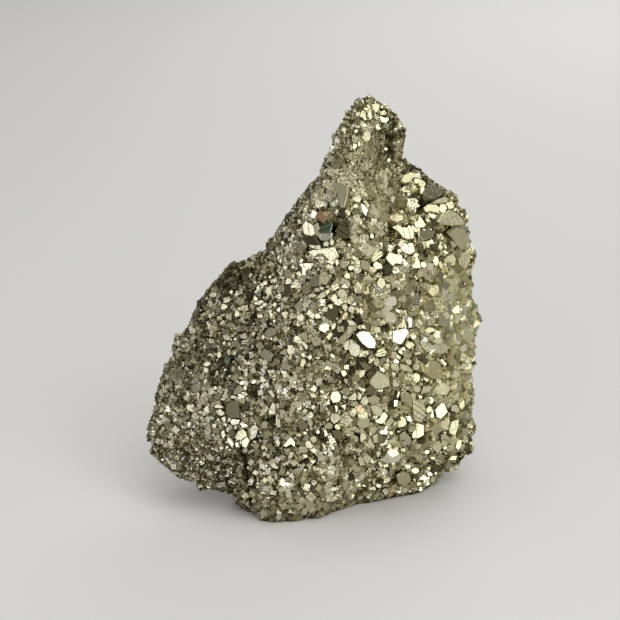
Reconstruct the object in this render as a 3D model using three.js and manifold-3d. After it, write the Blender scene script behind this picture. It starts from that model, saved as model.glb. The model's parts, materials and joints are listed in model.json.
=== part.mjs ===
// A pyrite specimen: one upright mass of intergrown crystals, with a leaning peak, a right shoulder,
// a left lobe and a blunt toe. Millimetres, +Z up. It was broken off its vein at the bottom and stands
// on that flat break. The side that it is shown by faces -Y, and +X is to the right there.

import * as THREE from 'three';
import { ConvexGeometry } from 'three/addons/geometries/ConvexGeometry.js';
import { ConvexHull } from 'three/addons/math/ConvexHull.js';
import { ImprovedNoise } from 'three/addons/math/ImprovedNoise.js';
import { MeshSurfaceSampler } from 'three/addons/math/MeshSurfaceSampler.js';
import * as BufferGeometryUtils from 'three/addons/utils/BufferGeometryUtils.js';
import Module from 'manifold-3d';

// Driving dimensions.
const HEIGHT = 78; // from the flat break to the top of the peak
const FOOT_CENTRE = new THREE.Vector2(4, -1); // where the line of growth starts, in the break
const PEAK_CENTRE = new THREE.Vector2(10.6, 1.4); // where it ends, at the top of the peak
const CRUST = 0.5; // the crystals stand about this much proud of the mass
const FACET = 3.1; // usual width of a facet of the mass
const ROW_COUNT = 27; // rows of facets from the break to the peak
const PROBE_COUNT = 180; // directions in which the outline of a row is measured
const CROWN = 0.985; // share of the height at which the last row closes over the peak
const THINNEST = 1; // the mass is never thinner than this around its line of growth
const ROUGHNESS = 0.6; // how far the facet corners stray from the smooth form
const SWELL = 1.1; // height of the gentle lumps in the mass
const SWELL_LENGTH = 10; // their distance from each other
const CRYSTAL_COUNT = 130; // crystals large enough to be felt one by one
const SMALL_CRYSTAL = 1.7; // width of their faces at the left
const LARGE_CRYSTAL = 2.9; // width of their faces at the right
const CRYSTAL_TILT = 0.5; // how far they lean away from the surface they grow from
const CRYSTAL_SPACING = 1.15; // distance between two of them, in face widths
const BREAK_MARGIN = 1.5; // the broken foot is bare of these crystals up to here
const PEAK_MARGIN = 3; // and so is the very tip of the peak, down to here
const PROUD = 0.3; // the least height of a crystal's face over the mass
const STANDOUT_PROUD = 0.55; // the same for the crystals listed below

// Crystals that stand out on the shown side: where their face is across and up, its width and height,
// how far it looks to the right and upwards in degrees, and how far it is turned in its own plane.
const STANDOUTS = [
  { x: 9.3, z: 34.2, width: 3.5, height: 2.7, right: 12, up: 20, spin: 20 },
  { x: 15.8, z: 34, width: 3.1, height: 2.9, right: 14, up: 18, spin: 70 },
  { x: 7.2, z: 32.4, width: 2.2, height: 2.6, right: 20, up: 2, spin: 130 },
  { x: 5.8, z: 35.6, width: 3.2, height: 1.8, right: -14, up: 32, spin: 40 },
  { x: 23, z: 29.6, width: 3.2, height: 2.6, right: 40, up: 8, spin: 15 },
  { x: 22.4, z: 25.6, width: 3.8, height: 3.6, right: 44, up: -6, spin: 60 },
  { x: 23.6, z: 22, width: 3.2, height: 2.6, right: 30, up: 22, spin: 100 },
  { x: 18.8, z: 24.4, width: 2.2, height: 2.1, right: 16, up: 26, spin: 50 },
  { x: 12.6, z: 25, width: 3.7, height: 3.3, right: 30, up: 30, spin: 25 },
  { x: 16.8, z: 20.6, width: 2.5, height: 3.3, right: 34, up: 26, spin: 80 },
  { x: 19.6, z: 18.4, width: 2.2, height: 3.8, right: 48, up: 4, spin: 0 },
  { x: 23.6, z: 17.6, width: 2, height: 3, right: 16, up: 16, spin: 30 },
  { x: 26, z: 14, width: 2.1, height: 3.3, right: 18, up: 16, spin: 12 },
  { x: 17.8, z: 17.2, width: 1.9, height: 2.3, right: 10, up: 20, spin: 45 },
  { x: 12.4, z: 16.9, width: 2.1, height: 2.2, right: 14, up: 14, spin: 95 },
  { x: 15.2, z: 62.6, width: 2.6, height: 1.7, right: 18, up: 24, spin: 10 },
  { x: 21.6, z: 57, width: 3.8, height: 2.9, right: 58, up: -4, spin: 35 },
  { x: 21.6, z: 54.6, width: 2.8, height: 2.7, right: 16, up: 18, spin: 65 },
  { x: 19.4, z: 53, width: 2.2, height: 2, right: 12, up: 20, spin: 25 },
  { x: 26, z: 52.8, width: 4.2, height: 2.8, right: 56, up: 22, spin: 5 },
  { x: 16.8, z: 51.8, width: 3.7, height: 2.3, right: 12, up: 16, spin: 160 },
  { x: 27.4, z: 49, width: 2.8, height: 3.8, right: 66, up: 6, spin: 20 },
  { x: 17.4, z: 48.8, width: 3, height: 2, right: 16, up: 20, spin: 75 },
  { x: 14.4, z: 47.8, width: 3.3, height: 2, right: 12, up: 18, spin: 15 },
  { x: 18.2, z: 46.6, width: 3, height: 2.7, right: 14, up: 22, spin: 115 },
  { x: 21.4, z: 49.2, width: 2, height: 1.7, right: 20, up: 16, spin: 60 },
  { x: 25.6, z: 45.4, width: 2, height: 3.1, right: 50, up: 26, spin: 0 },
  { x: 11.4, z: 47, width: 1.9, height: 1.9, right: 14, up: 18, spin: 35 },
  { x: 0.8, z: 53.6, width: 3, height: 2.2, right: -24, up: -8, spin: 10 },
  { x: -1.2, z: 56.4, width: 2, height: 1.8, right: -30, up: 24, spin: 50 },
  { x: -15.4, z: 16.6, width: 2.4, height: 2.2, right: 14, up: 18, spin: 0 },
  { x: -13, z: 17.8, width: 2, height: 2, right: 6, up: 22, spin: 72 },
  { x: -13.8, z: 14.9, width: 2.1, height: 1.9, right: 20, up: 12, spin: 144 },
];

// The middle of the mass, which every lump below includes.
const HEART = [
  [-6, -8, 22], [10, -8, 22], [10, 10, 22], [-6, 10, 22],
  [-6, -8, 38], [10, -8, 38], [10, 10, 38], [-6, 10, 38],
];

// The lumps that grew together. Each is the hull of its corners and of the heart.
const LUMPS = {
  peak: [
    [9.2, 1, 78], [11.6, 1.5, 78], [15, 1.5, 74.8], [18.2, 3, 70.8], [17.8, 4, 66],
    [5.6, 0, 74.6], [2.8, -1, 69.8], [1.8, 0, 64.5],
    [9, -3, 74], [8, -8, 62], [11, 8, 71], [12, 11, 62], [4, 7, 62],
  ],
  ridge: [
    [8, -9, 60], [15, -8, 60], [2, -13, 48], [-3, -16, 36], [-6, -17.5, 22], [-9, -17, 10],
    [-0.6, 5, 60], [17, 6, 62], [-8.8, 6, 48.5], [-9.4, 9, 45], [12, 14, 54], [8, 18, 40], [6, 18, 20],
  ],
  shoulder: [
    [19.9, 6, 62.6], [23.8, 7, 60.2], [26.4, 8, 57.6], [29.4, 8, 52.4], [30.8, 9, 46], [30.4, 8, 38],
    [18.4, -6.6, 50], [14, -12, 44], [22, 15, 46], [26, 13, 54], [16, 15, 50],
  ],
  flank: [
    [31.4, 8, 38], [32.4, 8, 31], [31.6, 6, 20], [31.4, 5, 12], [30.8, 4, 8], [29.8, 5, 5],
    [23, -2.4, 10], [21, -6.4, 24], [13, -14, 30], [12, -14, 12], [26, 14, 30], [26, 13, 8], [31.2, 9, 42],
  ],
  foot: [
    [24.6, 3.9, 0], [25.8, 5, 2.6], [22.8, 0.2, 0], [8.5, -7.4, 0], [14, -10, 6],
    [24, 12, 0], [14, 14, 0], [0, 14, 0],
  ],
  toe: [
    [-8.8, -17, 0], [1.1, -13.9, 0], [-12, -14.5, 0], [-15.6, -12, 1.6], [-9, -18, 6],
    [2, -16, 6], [8.5, -7, 0], [-15, -5, 0], [0, 10, 0],
  ],
  lobe: [
    [-32.4, -3, 15.4], [-32, -5, 11.5], [-31, -2, 17], [-29.2, 1, 24], [-26.8, 4, 30],
    [-24.4, 6, 34.4], [-19.4, 8, 40.6], [-15.6, 9, 43.6], [-11, 9, 45.4],
    [-27.6, -8, 6.6], [-25, -9, 4.4], [-19, -11, 3.2], [-23.4, -11.6, 14], [-17.6, -13.4, 12],
    [-15, -11.4, 25], [-20, 10, 26], [-14, 12, 34], [-18, 8, 12],
  ],
};

// Clefts between the lumps: a line along the surface, and how wide and deep the cleft is there.
const CLEFTS = [
  { from: [-12, -14.6, 0], to: [-12.4, -13, 13], width: 1.5, depth: 3.2 },
  { from: [-8.6, 2.6, 43], to: [-12, -11, 27], width: 2.8, depth: 0.9 },
  { from: [-12, -11, 27], to: [-13, -13, 13], width: 2.6, depth: 0.7 },
  { from: [14.3, -1.5, 72], to: [15.4, -1.6, 64], width: 1.5, depth: 1.9 },
  { from: [15.4, -1.6, 64], to: [15.8, -6, 54], width: 2.6, depth: 1.9 },
  { from: [-27, -6, 21], to: [-23.6, -8, 20], width: 1.6, depth: 1.7 },
  { from: [-8, -16, 19], to: [-6.4, -16, 21], width: 1.6, depth: 1.5 },
  { from: [2, -14, 17], to: [4.4, -14, 19.4], width: 1.7, depth: 1.5 },
  { from: [22, -3, 6], to: [12, -10, 5], width: 2.6, depth: 1.6 },
  { from: [12, 16, 60], to: [4, 20, 10], width: 3.4, depth: 2.4 },
  { from: [-10, 12, 42], to: [-6, 14, 10], width: 3, depth: 2.6 },
];

// Pyrite's own colour, a pale brass.
const PYRITE = new THREE.MeshStandardMaterial({ color: 0xb0a67c, roughness: 0.35, metalness: 0.9 });

// A repeatable random number between 0 and 1.
function makeRandom(seed) {
  let state = seed;
  return () => {
    state = (state * 1664525 + 1013904223) % 4294967296;
    return state / 4294967296;
  };
}

function toPoints(corners) {
  return corners.map((corner) => new THREE.Vector3(...corner));
}

// The distance at which a ray leaves a hull, or 0 where it misses the hull.
function exitDistance(hull, origin, direction) {
  let enter = 0;
  let exit = Infinity;
  for (const face of hull.faces) {
    const room = face.constant - face.normal.dot(origin);
    const slope = face.normal.dot(direction);
    if (slope > 1e-9) {
      exit = Math.min(exit, room / slope);
    } else if (slope < -1e-9) {
      enter = Math.max(enter, room / slope);
    } else if (room < 0) {
      return 0;
    }
  }
  return exit > enter ? exit : 0;
}

// How deep the clefts cut at a point of the surface.
function cleftDepth(point) {
  let depth = 0;
  const nearest = new THREE.Vector3();
  for (const cleft of CLEFTS) {
    const line = new THREE.Line3(new THREE.Vector3(...cleft.from), new THREE.Vector3(...cleft.to));
    line.closestPointToPoint(point, true, nearest);
    const away = nearest.distanceTo(point) / cleft.width;
    depth += cleft.depth * Math.exp(-away * away);
  }
  return depth;
}

// The corners of one row, evenly spaced along the outline of the lumps at that height. Their distance
// from the line of growth is lessened by the crust and the clefts, and varied by swells and roughness.
function rowCorners(hulls, height, along, random, noise) {
  const centre = new THREE.Vector3(
    THREE.MathUtils.lerp(FOOT_CENTRE.x, PEAK_CENTRE.x, along),
    THREE.MathUtils.lerp(FOOT_CENTRE.y, PEAK_CENTRE.y, along),
    height,
  );
  const justInside = 0.05;
  const probe = centre.clone().setZ(Math.max(height, justInside));
  const outline = [];
  for (let step = 0; step <= PROBE_COUNT; step += 1) {
    const angle = (step / PROBE_COUNT) * 2 * Math.PI;
    const direction = new THREE.Vector3(Math.cos(angle), Math.sin(angle), 0);
    const reach = Math.max(...hulls.map((hull) => exitDistance(hull, probe, direction)));
    outline.push({ angle, reach, x: direction.x * reach, y: direction.y * reach, length: 0 });
  }
  for (let step = 1; step <= PROBE_COUNT; step += 1) {
    const here = outline[step];
    const before = outline[step - 1];
    here.length = before.length + Math.hypot(here.x - before.x, here.y - before.y);
  }
  const perimeter = outline[PROBE_COUNT].length;
  const count = Math.max(7, Math.round(perimeter / FACET));
  const shift = random();
  const corners = [];
  for (let index = 0; index < count; index += 1) {
    const wanted = ((index + 0.1 + 0.4 * shift + 0.3 * random()) / count) * perimeter;
    const after = outline.findIndex((spot) => spot.length > wanted);
    const low = outline[after - 1];
    const high = outline[after];
    const part = (wanted - low.length) / (high.length - low.length);
    const angle = THREE.MathUtils.lerp(low.angle, high.angle, part);
    const reach = THREE.MathUtils.lerp(low.reach, high.reach, part);
    const direction = new THREE.Vector3(Math.cos(angle), Math.sin(angle), 0);
    const place = centre.clone().addScaledVector(direction, reach);
    const swell = SWELL * noise.noise(place.x / SWELL_LENGTH, place.y / SWELL_LENGTH, place.z / SWELL_LENGTH);
    const rough = (random() - 0.5) * 2 * ROUGHNESS;
    const radius = Math.max(reach - CRUST - cleftDepth(place) + swell + rough, THINNEST);
    place.copy(centre).addScaledVector(direction, radius);
    if (height > 0) {
      place.z += (random() - 0.5) * 2 * ROUGHNESS;
    }
    corners.push({ angle, place });
  }
  return corners;
}

// The mass: rows of corners around the line of growth, which runs from the break up to the peak. Two
// rows are joined by triangles in the order of their corners' angles around that line.
function massGeometry() {
  const random = makeRandom(7);
  const noise = new ImprovedNoise();
  const hulls = Object.values(LUMPS).map((corners) => (
    new ConvexHull().setFromPoints(toPoints(corners.concat(HEART)))
  ));
  const top = HEIGHT - CRUST;
  const positions = [];
  const triangles = [];
  let below = null;
  for (let row = 0; row <= ROW_COUNT; row += 1) {
    const along = (row / ROW_COUNT) * CROWN;
    const corners = rowCorners(hulls, top * along, along, random, noise);
    corners.first = positions.length / 3;
    corners.forEach((corner) => positions.push(...corner.place.toArray()));
    if (below) {
      joinRows(below, corners, triangles);
    }
    below = corners;
  }
  const peakIndex = positions.length / 3;
  positions.push(PEAK_CENTRE.x, PEAK_CENTRE.y, top);
  const footIndex = peakIndex + 1;
  positions.push(FOOT_CENTRE.x, FOOT_CENTRE.y, 0);
  below.forEach((corner, index) => {
    triangles.push(below.first + index, below.first + ((index + 1) % below.length), peakIndex);
  });
  for (let index = 0; positions[index * 3 + 2] === 0 && index < footIndex; index += 1) {
    const next = positions[index * 3 + 5] === 0 ? index + 1 : 0;
    triangles.push(next, index, footIndex);
  }
  const geometry = new THREE.BufferGeometry();
  geometry.setAttribute('position', new THREE.Float32BufferAttribute(positions, 3));
  geometry.setIndex(triangles);
  return geometry;
}

// Triangles between a lower and an upper row.
function joinRows(lower, upper, triangles) {
  const cornerIndex = (row, step) => row.first + (step % row.length);
  const cornerAngle = (row, step) => (
    step < row.length ? row[step].angle : row[step - row.length].angle + 2 * Math.PI
  );
  let low = 0;
  let high = 0;
  while (low < lower.length || high < upper.length) {
    const lowNext = cornerAngle(lower, low + 1);
    const highNext = cornerAngle(upper, high + 1);
    const stepLow = high >= upper.length || (low < lower.length && lowNext <= highNext);
    if (stepLow) {
      triangles.push(cornerIndex(lower, low), cornerIndex(lower, low + 1), cornerIndex(upper, high));
      low += 1;
    } else {
      triangles.push(cornerIndex(lower, low), cornerIndex(upper, high + 1), cornerIndex(upper, high));
      high += 1;
    }
  }
}

// Corners of the crystal forms. Each has a face that looks along +Z, at a height of 0.5 or a little
// more, and about 1 across.
function cubeCorners() {
  const corners = [];
  for (const x of [-0.5, 0.5]) {
    for (const y of [-0.5, 0.5]) {
      for (const z of [-0.5, 0.5]) {
        corners.push(new THREE.Vector3(x, y, z));
      }
    }
  }
  return corners;
}

// The twelve-sided form with five-sided faces that is named after this mineral: the corners of a cube,
// and a ridge over each of the cube's faces.
function pyritohedronCorners() {
  const half = 0.48;
  const ridge = half * 1.5;
  const ridgeEnd = half * 0.75;
  const corners = cubeCorners().map((corner) => corner.multiplyScalar(2 * half));
  for (const a of [-ridge, ridge]) {
    for (const b of [-ridgeEnd, ridgeEnd]) {
      corners.push(new THREE.Vector3(0, a, b), new THREE.Vector3(a, b, 0), new THREE.Vector3(b, 0, a));
    }
  }
  const face = new THREE.Vector3(1, 2, 0).normalize();
  const upright = new THREE.Quaternion().setFromUnitVectors(face, new THREE.Vector3(0, 0, 1));
  return corners.map((corner) => corner.applyQuaternion(upright));
}

const FORMS = [cubeCorners(), pyritohedronCorners(), cubeCorners()];
const FACE_HEIGHT = 0.5;

// One crystal as a closed geometry: its face is centred over a place on the surface, looks along a
// direction, and stands proud of that place by the lift.
function crystalGeometry(form, size, place, direction, spin, lift) {
  const turn = new THREE.Quaternion().setFromUnitVectors(new THREE.Vector3(0, 0, 1), direction);
  turn.multiply(new THREE.Quaternion().setFromAxisAngle(new THREE.Vector3(0, 0, 1), spin));
  const centre = place.clone().addScaledVector(direction, lift - FACE_HEIGHT * size.z);
  const matrix = new THREE.Matrix4().compose(centre, turn, size);
  return new ConvexGeometry(form.map((corner) => corner.clone().applyMatrix4(matrix)));
}

// The crystals named above. The ray that finds each one's place runs straight into the shown side.
function standoutGeometries(mass) {
  const target = new THREE.Mesh(mass);
  const inward = new THREE.Vector3(0, 1, 0);
  return STANDOUTS.map((crystal, index) => {
    const start = new THREE.Vector3(crystal.x, -HEIGHT, crystal.z);
    const place = new THREE.Raycaster(start, inward).intersectObject(target)[0].point;
    const right = THREE.MathUtils.degToRad(crystal.right);
    const up = THREE.MathUtils.degToRad(crystal.up);
    const direction = new THREE.Vector3(
      Math.sin(right) * Math.cos(up), -Math.cos(right) * Math.cos(up), Math.sin(up),
    );
    const size = new THREE.Vector3(crystal.width, crystal.height, (crystal.width + crystal.height) / 2);
    const spin = THREE.MathUtils.degToRad(crystal.spin);
    return crystalGeometry(FORMS[index % FORMS.length], size, place, direction, spin, STANDOUT_PROUD);
  });
}

// The other crystals, at random places: fine ones at the left, coarse ones at the right.
function scatteredGeometries(mass) {
  const random = makeRandom(31);
  const sampler = new MeshSurfaceSampler(new THREE.Mesh(mass)).setRandomGenerator(random).build();
  const place = new THREE.Vector3();
  const normal = new THREE.Vector3();
  const placed = [];
  const crystals = [];
  while (placed.length < CRYSTAL_COUNT) {
    sampler.sample(place, normal);
    const side = THREE.MathUtils.clamp((place.x + 30) / 60, 0, 1);
    const width = THREE.MathUtils.lerp(SMALL_CRYSTAL, LARGE_CRYSTAL, side) * (0.8 + 0.5 * random());
    const crowded = placed.some((other) => (
      other.place.distanceTo(place) < ((other.width + width) / 2) * CRYSTAL_SPACING
    ));
    if (crowded || place.z < BREAK_MARGIN + width / 2 || place.z > HEIGHT - PEAK_MARGIN) {
      continue;
    }
    const lean = new THREE.Vector3(random() - 0.5, random() - 0.5, random() - 0.5);
    const direction = normal.clone().addScaledVector(lean, 2 * CRYSTAL_TILT).normalize();
    const form = FORMS[Math.floor(random() * FORMS.length)];
    const size = new THREE.Vector3(width, width * (0.8 + 0.3 * random()), width);
    const lift = PROUD + 0.16 * width * random();
    crystals.push(crystalGeometry(form, size, place, direction, random() * 2 * Math.PI, lift));
    placed.push({ place: place.clone(), width });
  }
  return crystals;
}

const wasm = await Module();
wasm.setup();

function toSolid(geometry) {
  const bare = geometry.clone();
  bare.deleteAttribute('normal');
  bare.deleteAttribute('uv');
  const merged = BufferGeometryUtils.mergeVertices(bare, 1e-4);
  return new wasm.Manifold(new wasm.Mesh({
    numProp: 3,
    vertProperties: new Float32Array(merged.attributes.position.array),
    triVerts: new Uint32Array(merged.index.array),
  }));
}

function toGeometry(solid) {
  const mesh = solid.getMesh();
  const geometry = new THREE.BufferGeometry();
  geometry.setAttribute('position', new THREE.BufferAttribute(new Float32Array(mesh.vertProperties), 3));
  geometry.setIndex(new THREE.BufferAttribute(new Uint32Array(mesh.triVerts), 1));
  return geometry;
}

// The outer skin alone. A pocket that crystals closed in between them is left out, so it is solid.
function outerSkin(geometry) {
  const index = geometry.index.array;
  const skinOf = Array.from({ length: geometry.attributes.position.count }, (_, corner) => corner);
  const root = (corner) => {
    let at = corner;
    while (skinOf[at] !== at) {
      skinOf[at] = skinOf[skinOf[at]];
      at = skinOf[at];
    }
    return at;
  };
  for (let edge = 0; edge < index.length; edge += 3) {
    skinOf[root(index[edge + 1])] = root(index[edge]);
    skinOf[root(index[edge + 2])] = root(index[edge]);
  }
  const counts = new Map();
  for (const corner of index) {
    counts.set(root(corner), (counts.get(root(corner)) ?? 0) + 1);
  }
  const largest = [...counts.keys()].reduce((best, skin) => (
    counts.get(skin) > counts.get(best) ? skin : best
  ));
  geometry.setIndex(Array.from(index).filter((corner) => root(corner) === largest));
  geometry.deleteAttribute('normal');
  return BufferGeometryUtils.mergeVertices(geometry.toNonIndexed(), 1e-4);
}

function specimenGeometry() {
  const mass = massGeometry();
  mass.computeVertexNormals();
  let solid = toSolid(mass);
  for (const crystal of [...standoutGeometries(mass), ...scatteredGeometries(mass)]) {
    solid = solid.add(toSolid(crystal));
  }
  const geometry = outerSkin(toGeometry(solid));
  geometry.computeBoundingBox();
  const middle = geometry.boundingBox.getCenter(new THREE.Vector3());
  geometry.translate(-middle.x, -middle.y, -geometry.boundingBox.min.z);
  geometry.computeVertexNormals();
  return geometry;
}

const specimen = new THREE.Mesh(specimenGeometry(), PYRITE);
specimen.name = 'pyrite_specimen';

const group = new THREE.Group();
group.add(specimen);

export default group;
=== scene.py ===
# %% [markdown]
# A pyrite specimen, dressed for a portrait. Pyrite is iron sulphide: a pale brass mineral that grows as
# cubes and as twelve-sided crystals with five-sided faces. Here thousands of them grew into each other,
# so the specimen is one upright mass under a crust of small crystals, which mineral collectors call a
# druse. The mass comes from the construction model, which is loaded first and is never moved. This file
# adds the crust, the large crystals of the front, the finishes, the light and the camera.

import json
import math

import bmesh
import bpy
import numpy as np
from mathutils import Matrix, Vector
from mathutils.bvhtree import BVHTree

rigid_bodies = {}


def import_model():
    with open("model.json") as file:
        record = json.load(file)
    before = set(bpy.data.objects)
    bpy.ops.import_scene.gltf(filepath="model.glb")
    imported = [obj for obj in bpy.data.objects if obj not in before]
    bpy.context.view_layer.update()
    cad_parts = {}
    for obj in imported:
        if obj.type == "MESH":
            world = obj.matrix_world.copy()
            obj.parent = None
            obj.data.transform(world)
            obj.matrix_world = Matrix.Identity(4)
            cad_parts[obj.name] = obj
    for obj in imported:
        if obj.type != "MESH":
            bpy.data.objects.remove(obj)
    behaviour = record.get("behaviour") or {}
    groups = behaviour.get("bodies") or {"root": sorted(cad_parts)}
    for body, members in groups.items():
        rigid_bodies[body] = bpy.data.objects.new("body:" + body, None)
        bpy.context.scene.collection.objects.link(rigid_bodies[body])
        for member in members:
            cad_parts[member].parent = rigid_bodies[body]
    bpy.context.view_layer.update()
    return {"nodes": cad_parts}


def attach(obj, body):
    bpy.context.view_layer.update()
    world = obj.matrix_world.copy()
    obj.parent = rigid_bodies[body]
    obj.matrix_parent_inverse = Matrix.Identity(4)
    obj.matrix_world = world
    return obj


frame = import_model()
specimen = frame["nodes"]["pyrite_specimen"]
MM = 0.001

# %% [markdown]
# Colours are chosen from the specimen as ordinary screen colours. Blender mixes light in linear
# values, so one function turns a hex colour into those. Another small function adds a node to a tree,
# with its settings, its values and its links in one call, which keeps the trees below readable.


# %% Helpers for colours, node trees and objects
def linear(hex_colour):
    """A screen colour such as '#CBC59B' as linear red, green, blue and alpha."""
    channels = [int(hex_colour[place:place + 2], 16) / 255 for place in (1, 3, 5)]
    return [((c + 0.055) / 1.055) ** 2.4 if c > 0.04045 else c / 12.92 for c in channels] + [1.0]


def add(tree, kind, inputs=None, **settings):
    """Adds a node. An input may be a value, or an output socket to link from."""
    node = tree.nodes.new(kind)
    for name, value in settings.items():
        setattr(node, name, value)
    for key, value in (inputs or {}).items():
        if isinstance(value, bpy.types.NodeSocket):
            tree.links.new(value, node.inputs[key])
        else:
            node.inputs[key].default_value = value
    return node


def set_stops(ramp, stops):
    """Gives a colour ramp its stops. Each is a place from 0 to 1 and a screen colour."""
    elements = ramp.color_ramp.elements
    while len(elements) < len(stops):
        elements.new(0.5)
    for element, (place, colour) in zip(elements, stops):
        element.position = place
        element.color = linear(colour)


def in_scene(name, data):
    """A new object in the scene that holds the given mesh, lamp or camera."""
    made = bpy.data.objects.new(name, data)
    bpy.context.collection.objects.link(made)
    return made


def turned_to(direction, axis="Z"):
    """The rotation that lays a lamp's or a camera's own axis along a direction."""
    return direction.to_track_quat(axis, "Y").to_euler()


print("pale brass in linear values:", [round(value, 3) for value in linear("#CBC59B")])


# %% [markdown]
# The camera looks at the specimen from the front and a little above, through a long lens, as a
# photographer would to keep the upright form true. Its distance and lens come from the real size of
# the field that it sees.

# %% The camera
ELEVATION = math.radians(18)
DISTANCE = 550 * MM
FIELD = 116.6 * MM  # width of what the camera sees at the specimen
AIM = Vector((-1.0, -0.4, 36.8)) * MM
PICTURE = 620  # pixels across and down
PIXEL = FIELD / PICTURE

camera_data = bpy.data.cameras.new("camera")
camera_data.sensor_width = 36.0
camera_data.lens = camera_data.sensor_width * DISTANCE / FIELD
camera = in_scene("camera", camera_data)
backwards = Vector((0.0, -math.cos(ELEVATION), math.sin(ELEVATION)))
upwards = Vector((0.0, math.sin(ELEVATION), math.cos(ELEVATION)))
camera.location = AIM + backwards * DISTANCE
camera.rotation_euler = turned_to(backwards)
bpy.context.scene.camera = camera
print("lens in mm:", round(camera_data.lens, 1))

# %% [markdown]
# Pyrite's faces are flat little mirrors. Each shows one spot of its surroundings, so what makes a druse
# sparkle is a room that is mostly dim with a few bright lamps: faces that catch a lamp flash, and the
# others stay dark or take the soft grey of the room.

# %% Lamps in a dim room
HEART = Vector((2, 0, 36)) * MM  # middle of the specimen, which the lamps face
# Place, width and height in millimetres, and power in watts.
LAMPS = {
    "key lamp": ((230, -420, 420), 640, 620, 2.2),
    "side lamp": ((-420, -260, 160), 220, 300, 0.28),
    "top lamp": ((0, 60, 520), 440, 360, 0.8),
    "fill lamp": ((-150, -560, 330), 380, 300, 0.62),
    "back lamp": ((160, 480, 260), 360, 300, 0.8),
}
for name, (place, width, height, power) in LAMPS.items():
    data = bpy.data.lights.new(name, "AREA")
    data.shape = "RECTANGLE"
    data.size = width * MM
    data.size_y = height * MM
    data.energy = power
    lamp = in_scene(name, data)
    lamp.location = Vector(place) * MM
    lamp.rotation_euler = turned_to(HEART - lamp.location, "-Z")

world = bpy.data.worlds.new("dim room")
world.use_nodes = True
room_light = world.node_tree.nodes["Background"]
room_light.inputs["Color"].default_value = linear("#F4F4F6")
room_light.inputs["Strength"].default_value = 0.3
bpy.context.scene.world = world
bpy.context.scene.view_settings.view_transform = "Standard"
print("lamps:", len(LAMPS))

# %% [markdown]
# A pale floor carries the specimen. It curves up into a backdrop at the back, as a roll of studio paper
# does, so that no edge shows. Matt paper takes soft shadows and shows no highlight of its own. The floor
# is for the picture only and isn't part of the object.


# %% The studio floor
def sweep_mesh(half_width, front, back, rise, radius, steps=16):
    """A floor that curves up into a backdrop, as one strip."""
    profile = [(front, 0.0), (back - radius, 0.0)]
    for step in range(1, steps + 1):
        angle = step / steps * math.pi / 2
        profile.append((back - radius + radius * math.sin(angle), radius - radius * math.cos(angle)))
    profile.append((back, rise))
    mesh = bpy.data.meshes.new("studio sweep")
    corners = [(side * half_width, y, z) for y, z in profile for side in (-1, 1)]
    faces = [(2 * i, 2 * i + 1, 2 * i + 3, 2 * i + 2) for i in range(len(profile) - 1)]
    mesh.from_pydata(corners, [], faces)
    mesh.shade_smooth()
    return mesh


sweep = in_scene("studio_sweep", sweep_mesh(half_width=1.6, front=-1.2, back=0.9, rise=1.4, radius=0.4))
paper = bpy.data.materials.new("matt studio paper")
paper.use_nodes = True
paper_shader = paper.node_tree.nodes["Principled BSDF"]
paper_shader.inputs["Base Color"].default_value = linear("#D8D7D3")
paper_shader.inputs["Roughness"].default_value = 0.9
sweep.data.materials.append(paper)
print("strips in the floor:", len(sweep.data.polygons))

# %% [markdown]
# The finish of a fresh pyrite face: a metal, pale brass, smooth but not quite a mirror. No two crystals
# have just the same colour, because a thin tarnish dulls some to olive and brown, and a few turn
# silvery, reddish or grey-green. A material for each would take hundreds. One material shows it all if
# each crystal carries a few numbers on its corners. Tone says how bright it is, and hue whether it has
# one of the rare tints. Root is 0 at its foot and 1 on its top, and the finish paints shade towards the
# foot, where neighbouring crystals would shade it. Yellow is the slow drift of colour from left to right.
# Polish says how free of marks its faces are, and even how calm its whole patch is.

# %% The numbers and colours of the crystals
CARRIED = ("tone", "hue", "root", "yellow", "polish", "even")
TONES = [
    (0.0, "#4A4430"), (0.14, "#7D775A"), (0.36, "#B2AB88"), (0.62, "#D1CCAB"), (0.86, "#E6E0C2"),
    (1.0, "#F0ECD8"),
]
TINTS = [
    (0.0, "#D6B5A2"), (0.003, "#F1E3D4"), (0.06, "#FFFFFF"), (0.92, "#FFFFFF"), (0.97, "#E4E9EC"),
    (0.996, "#E4E9EC"), (1.0, "#A0B4AC"),
]
# Painted shade: these colours darken each crystal towards its foot.
FOOT_PAINTED_SHADE = [(0.0, "#2A2412"), (0.5, "#FFFFFF")]
CELL_SHADES = [(0.0, "#8C8773"), (0.3, "#D2D0C6"), (0.6, "#FFFFFF")]
TARNISH = [(0.0, "#A9A596"), (0.8, "#FFFFFF")]
YELLOWS = [(0.0, "#F6F6FF"), (1.0, "#FFFFF8")]
print("tones:", len(TONES), "tints:", len(TINTS))

# %% [markdown]
# Seen from near, a pyrite face is seldom one mirror. It is a mosaic of fine cells that grew together,
# and each leans a trace its own way. They could be modelled, but that would take millions of corners.
# The cells of a Voronoi texture do it too: their random colour is added to the face's direction, so the
# highlights break up as they should.


# %% The mosaic inside a face
CELL = 0.28 * MM  # real cells can be finer, but a pixel and a half is the finest that shows
MASS_CELL = 0.5 * MM
MASS_PATCH = 4 * MM


def metal(name):
    """A new metal material, its tree and its shader."""
    material = bpy.data.materials.new(name)
    material.use_nodes = True
    shader = material.node_tree.nodes["Principled BSDF"]
    shader.inputs["Metallic"].default_value = 1.0
    return material, material.node_tree, shader


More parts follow.
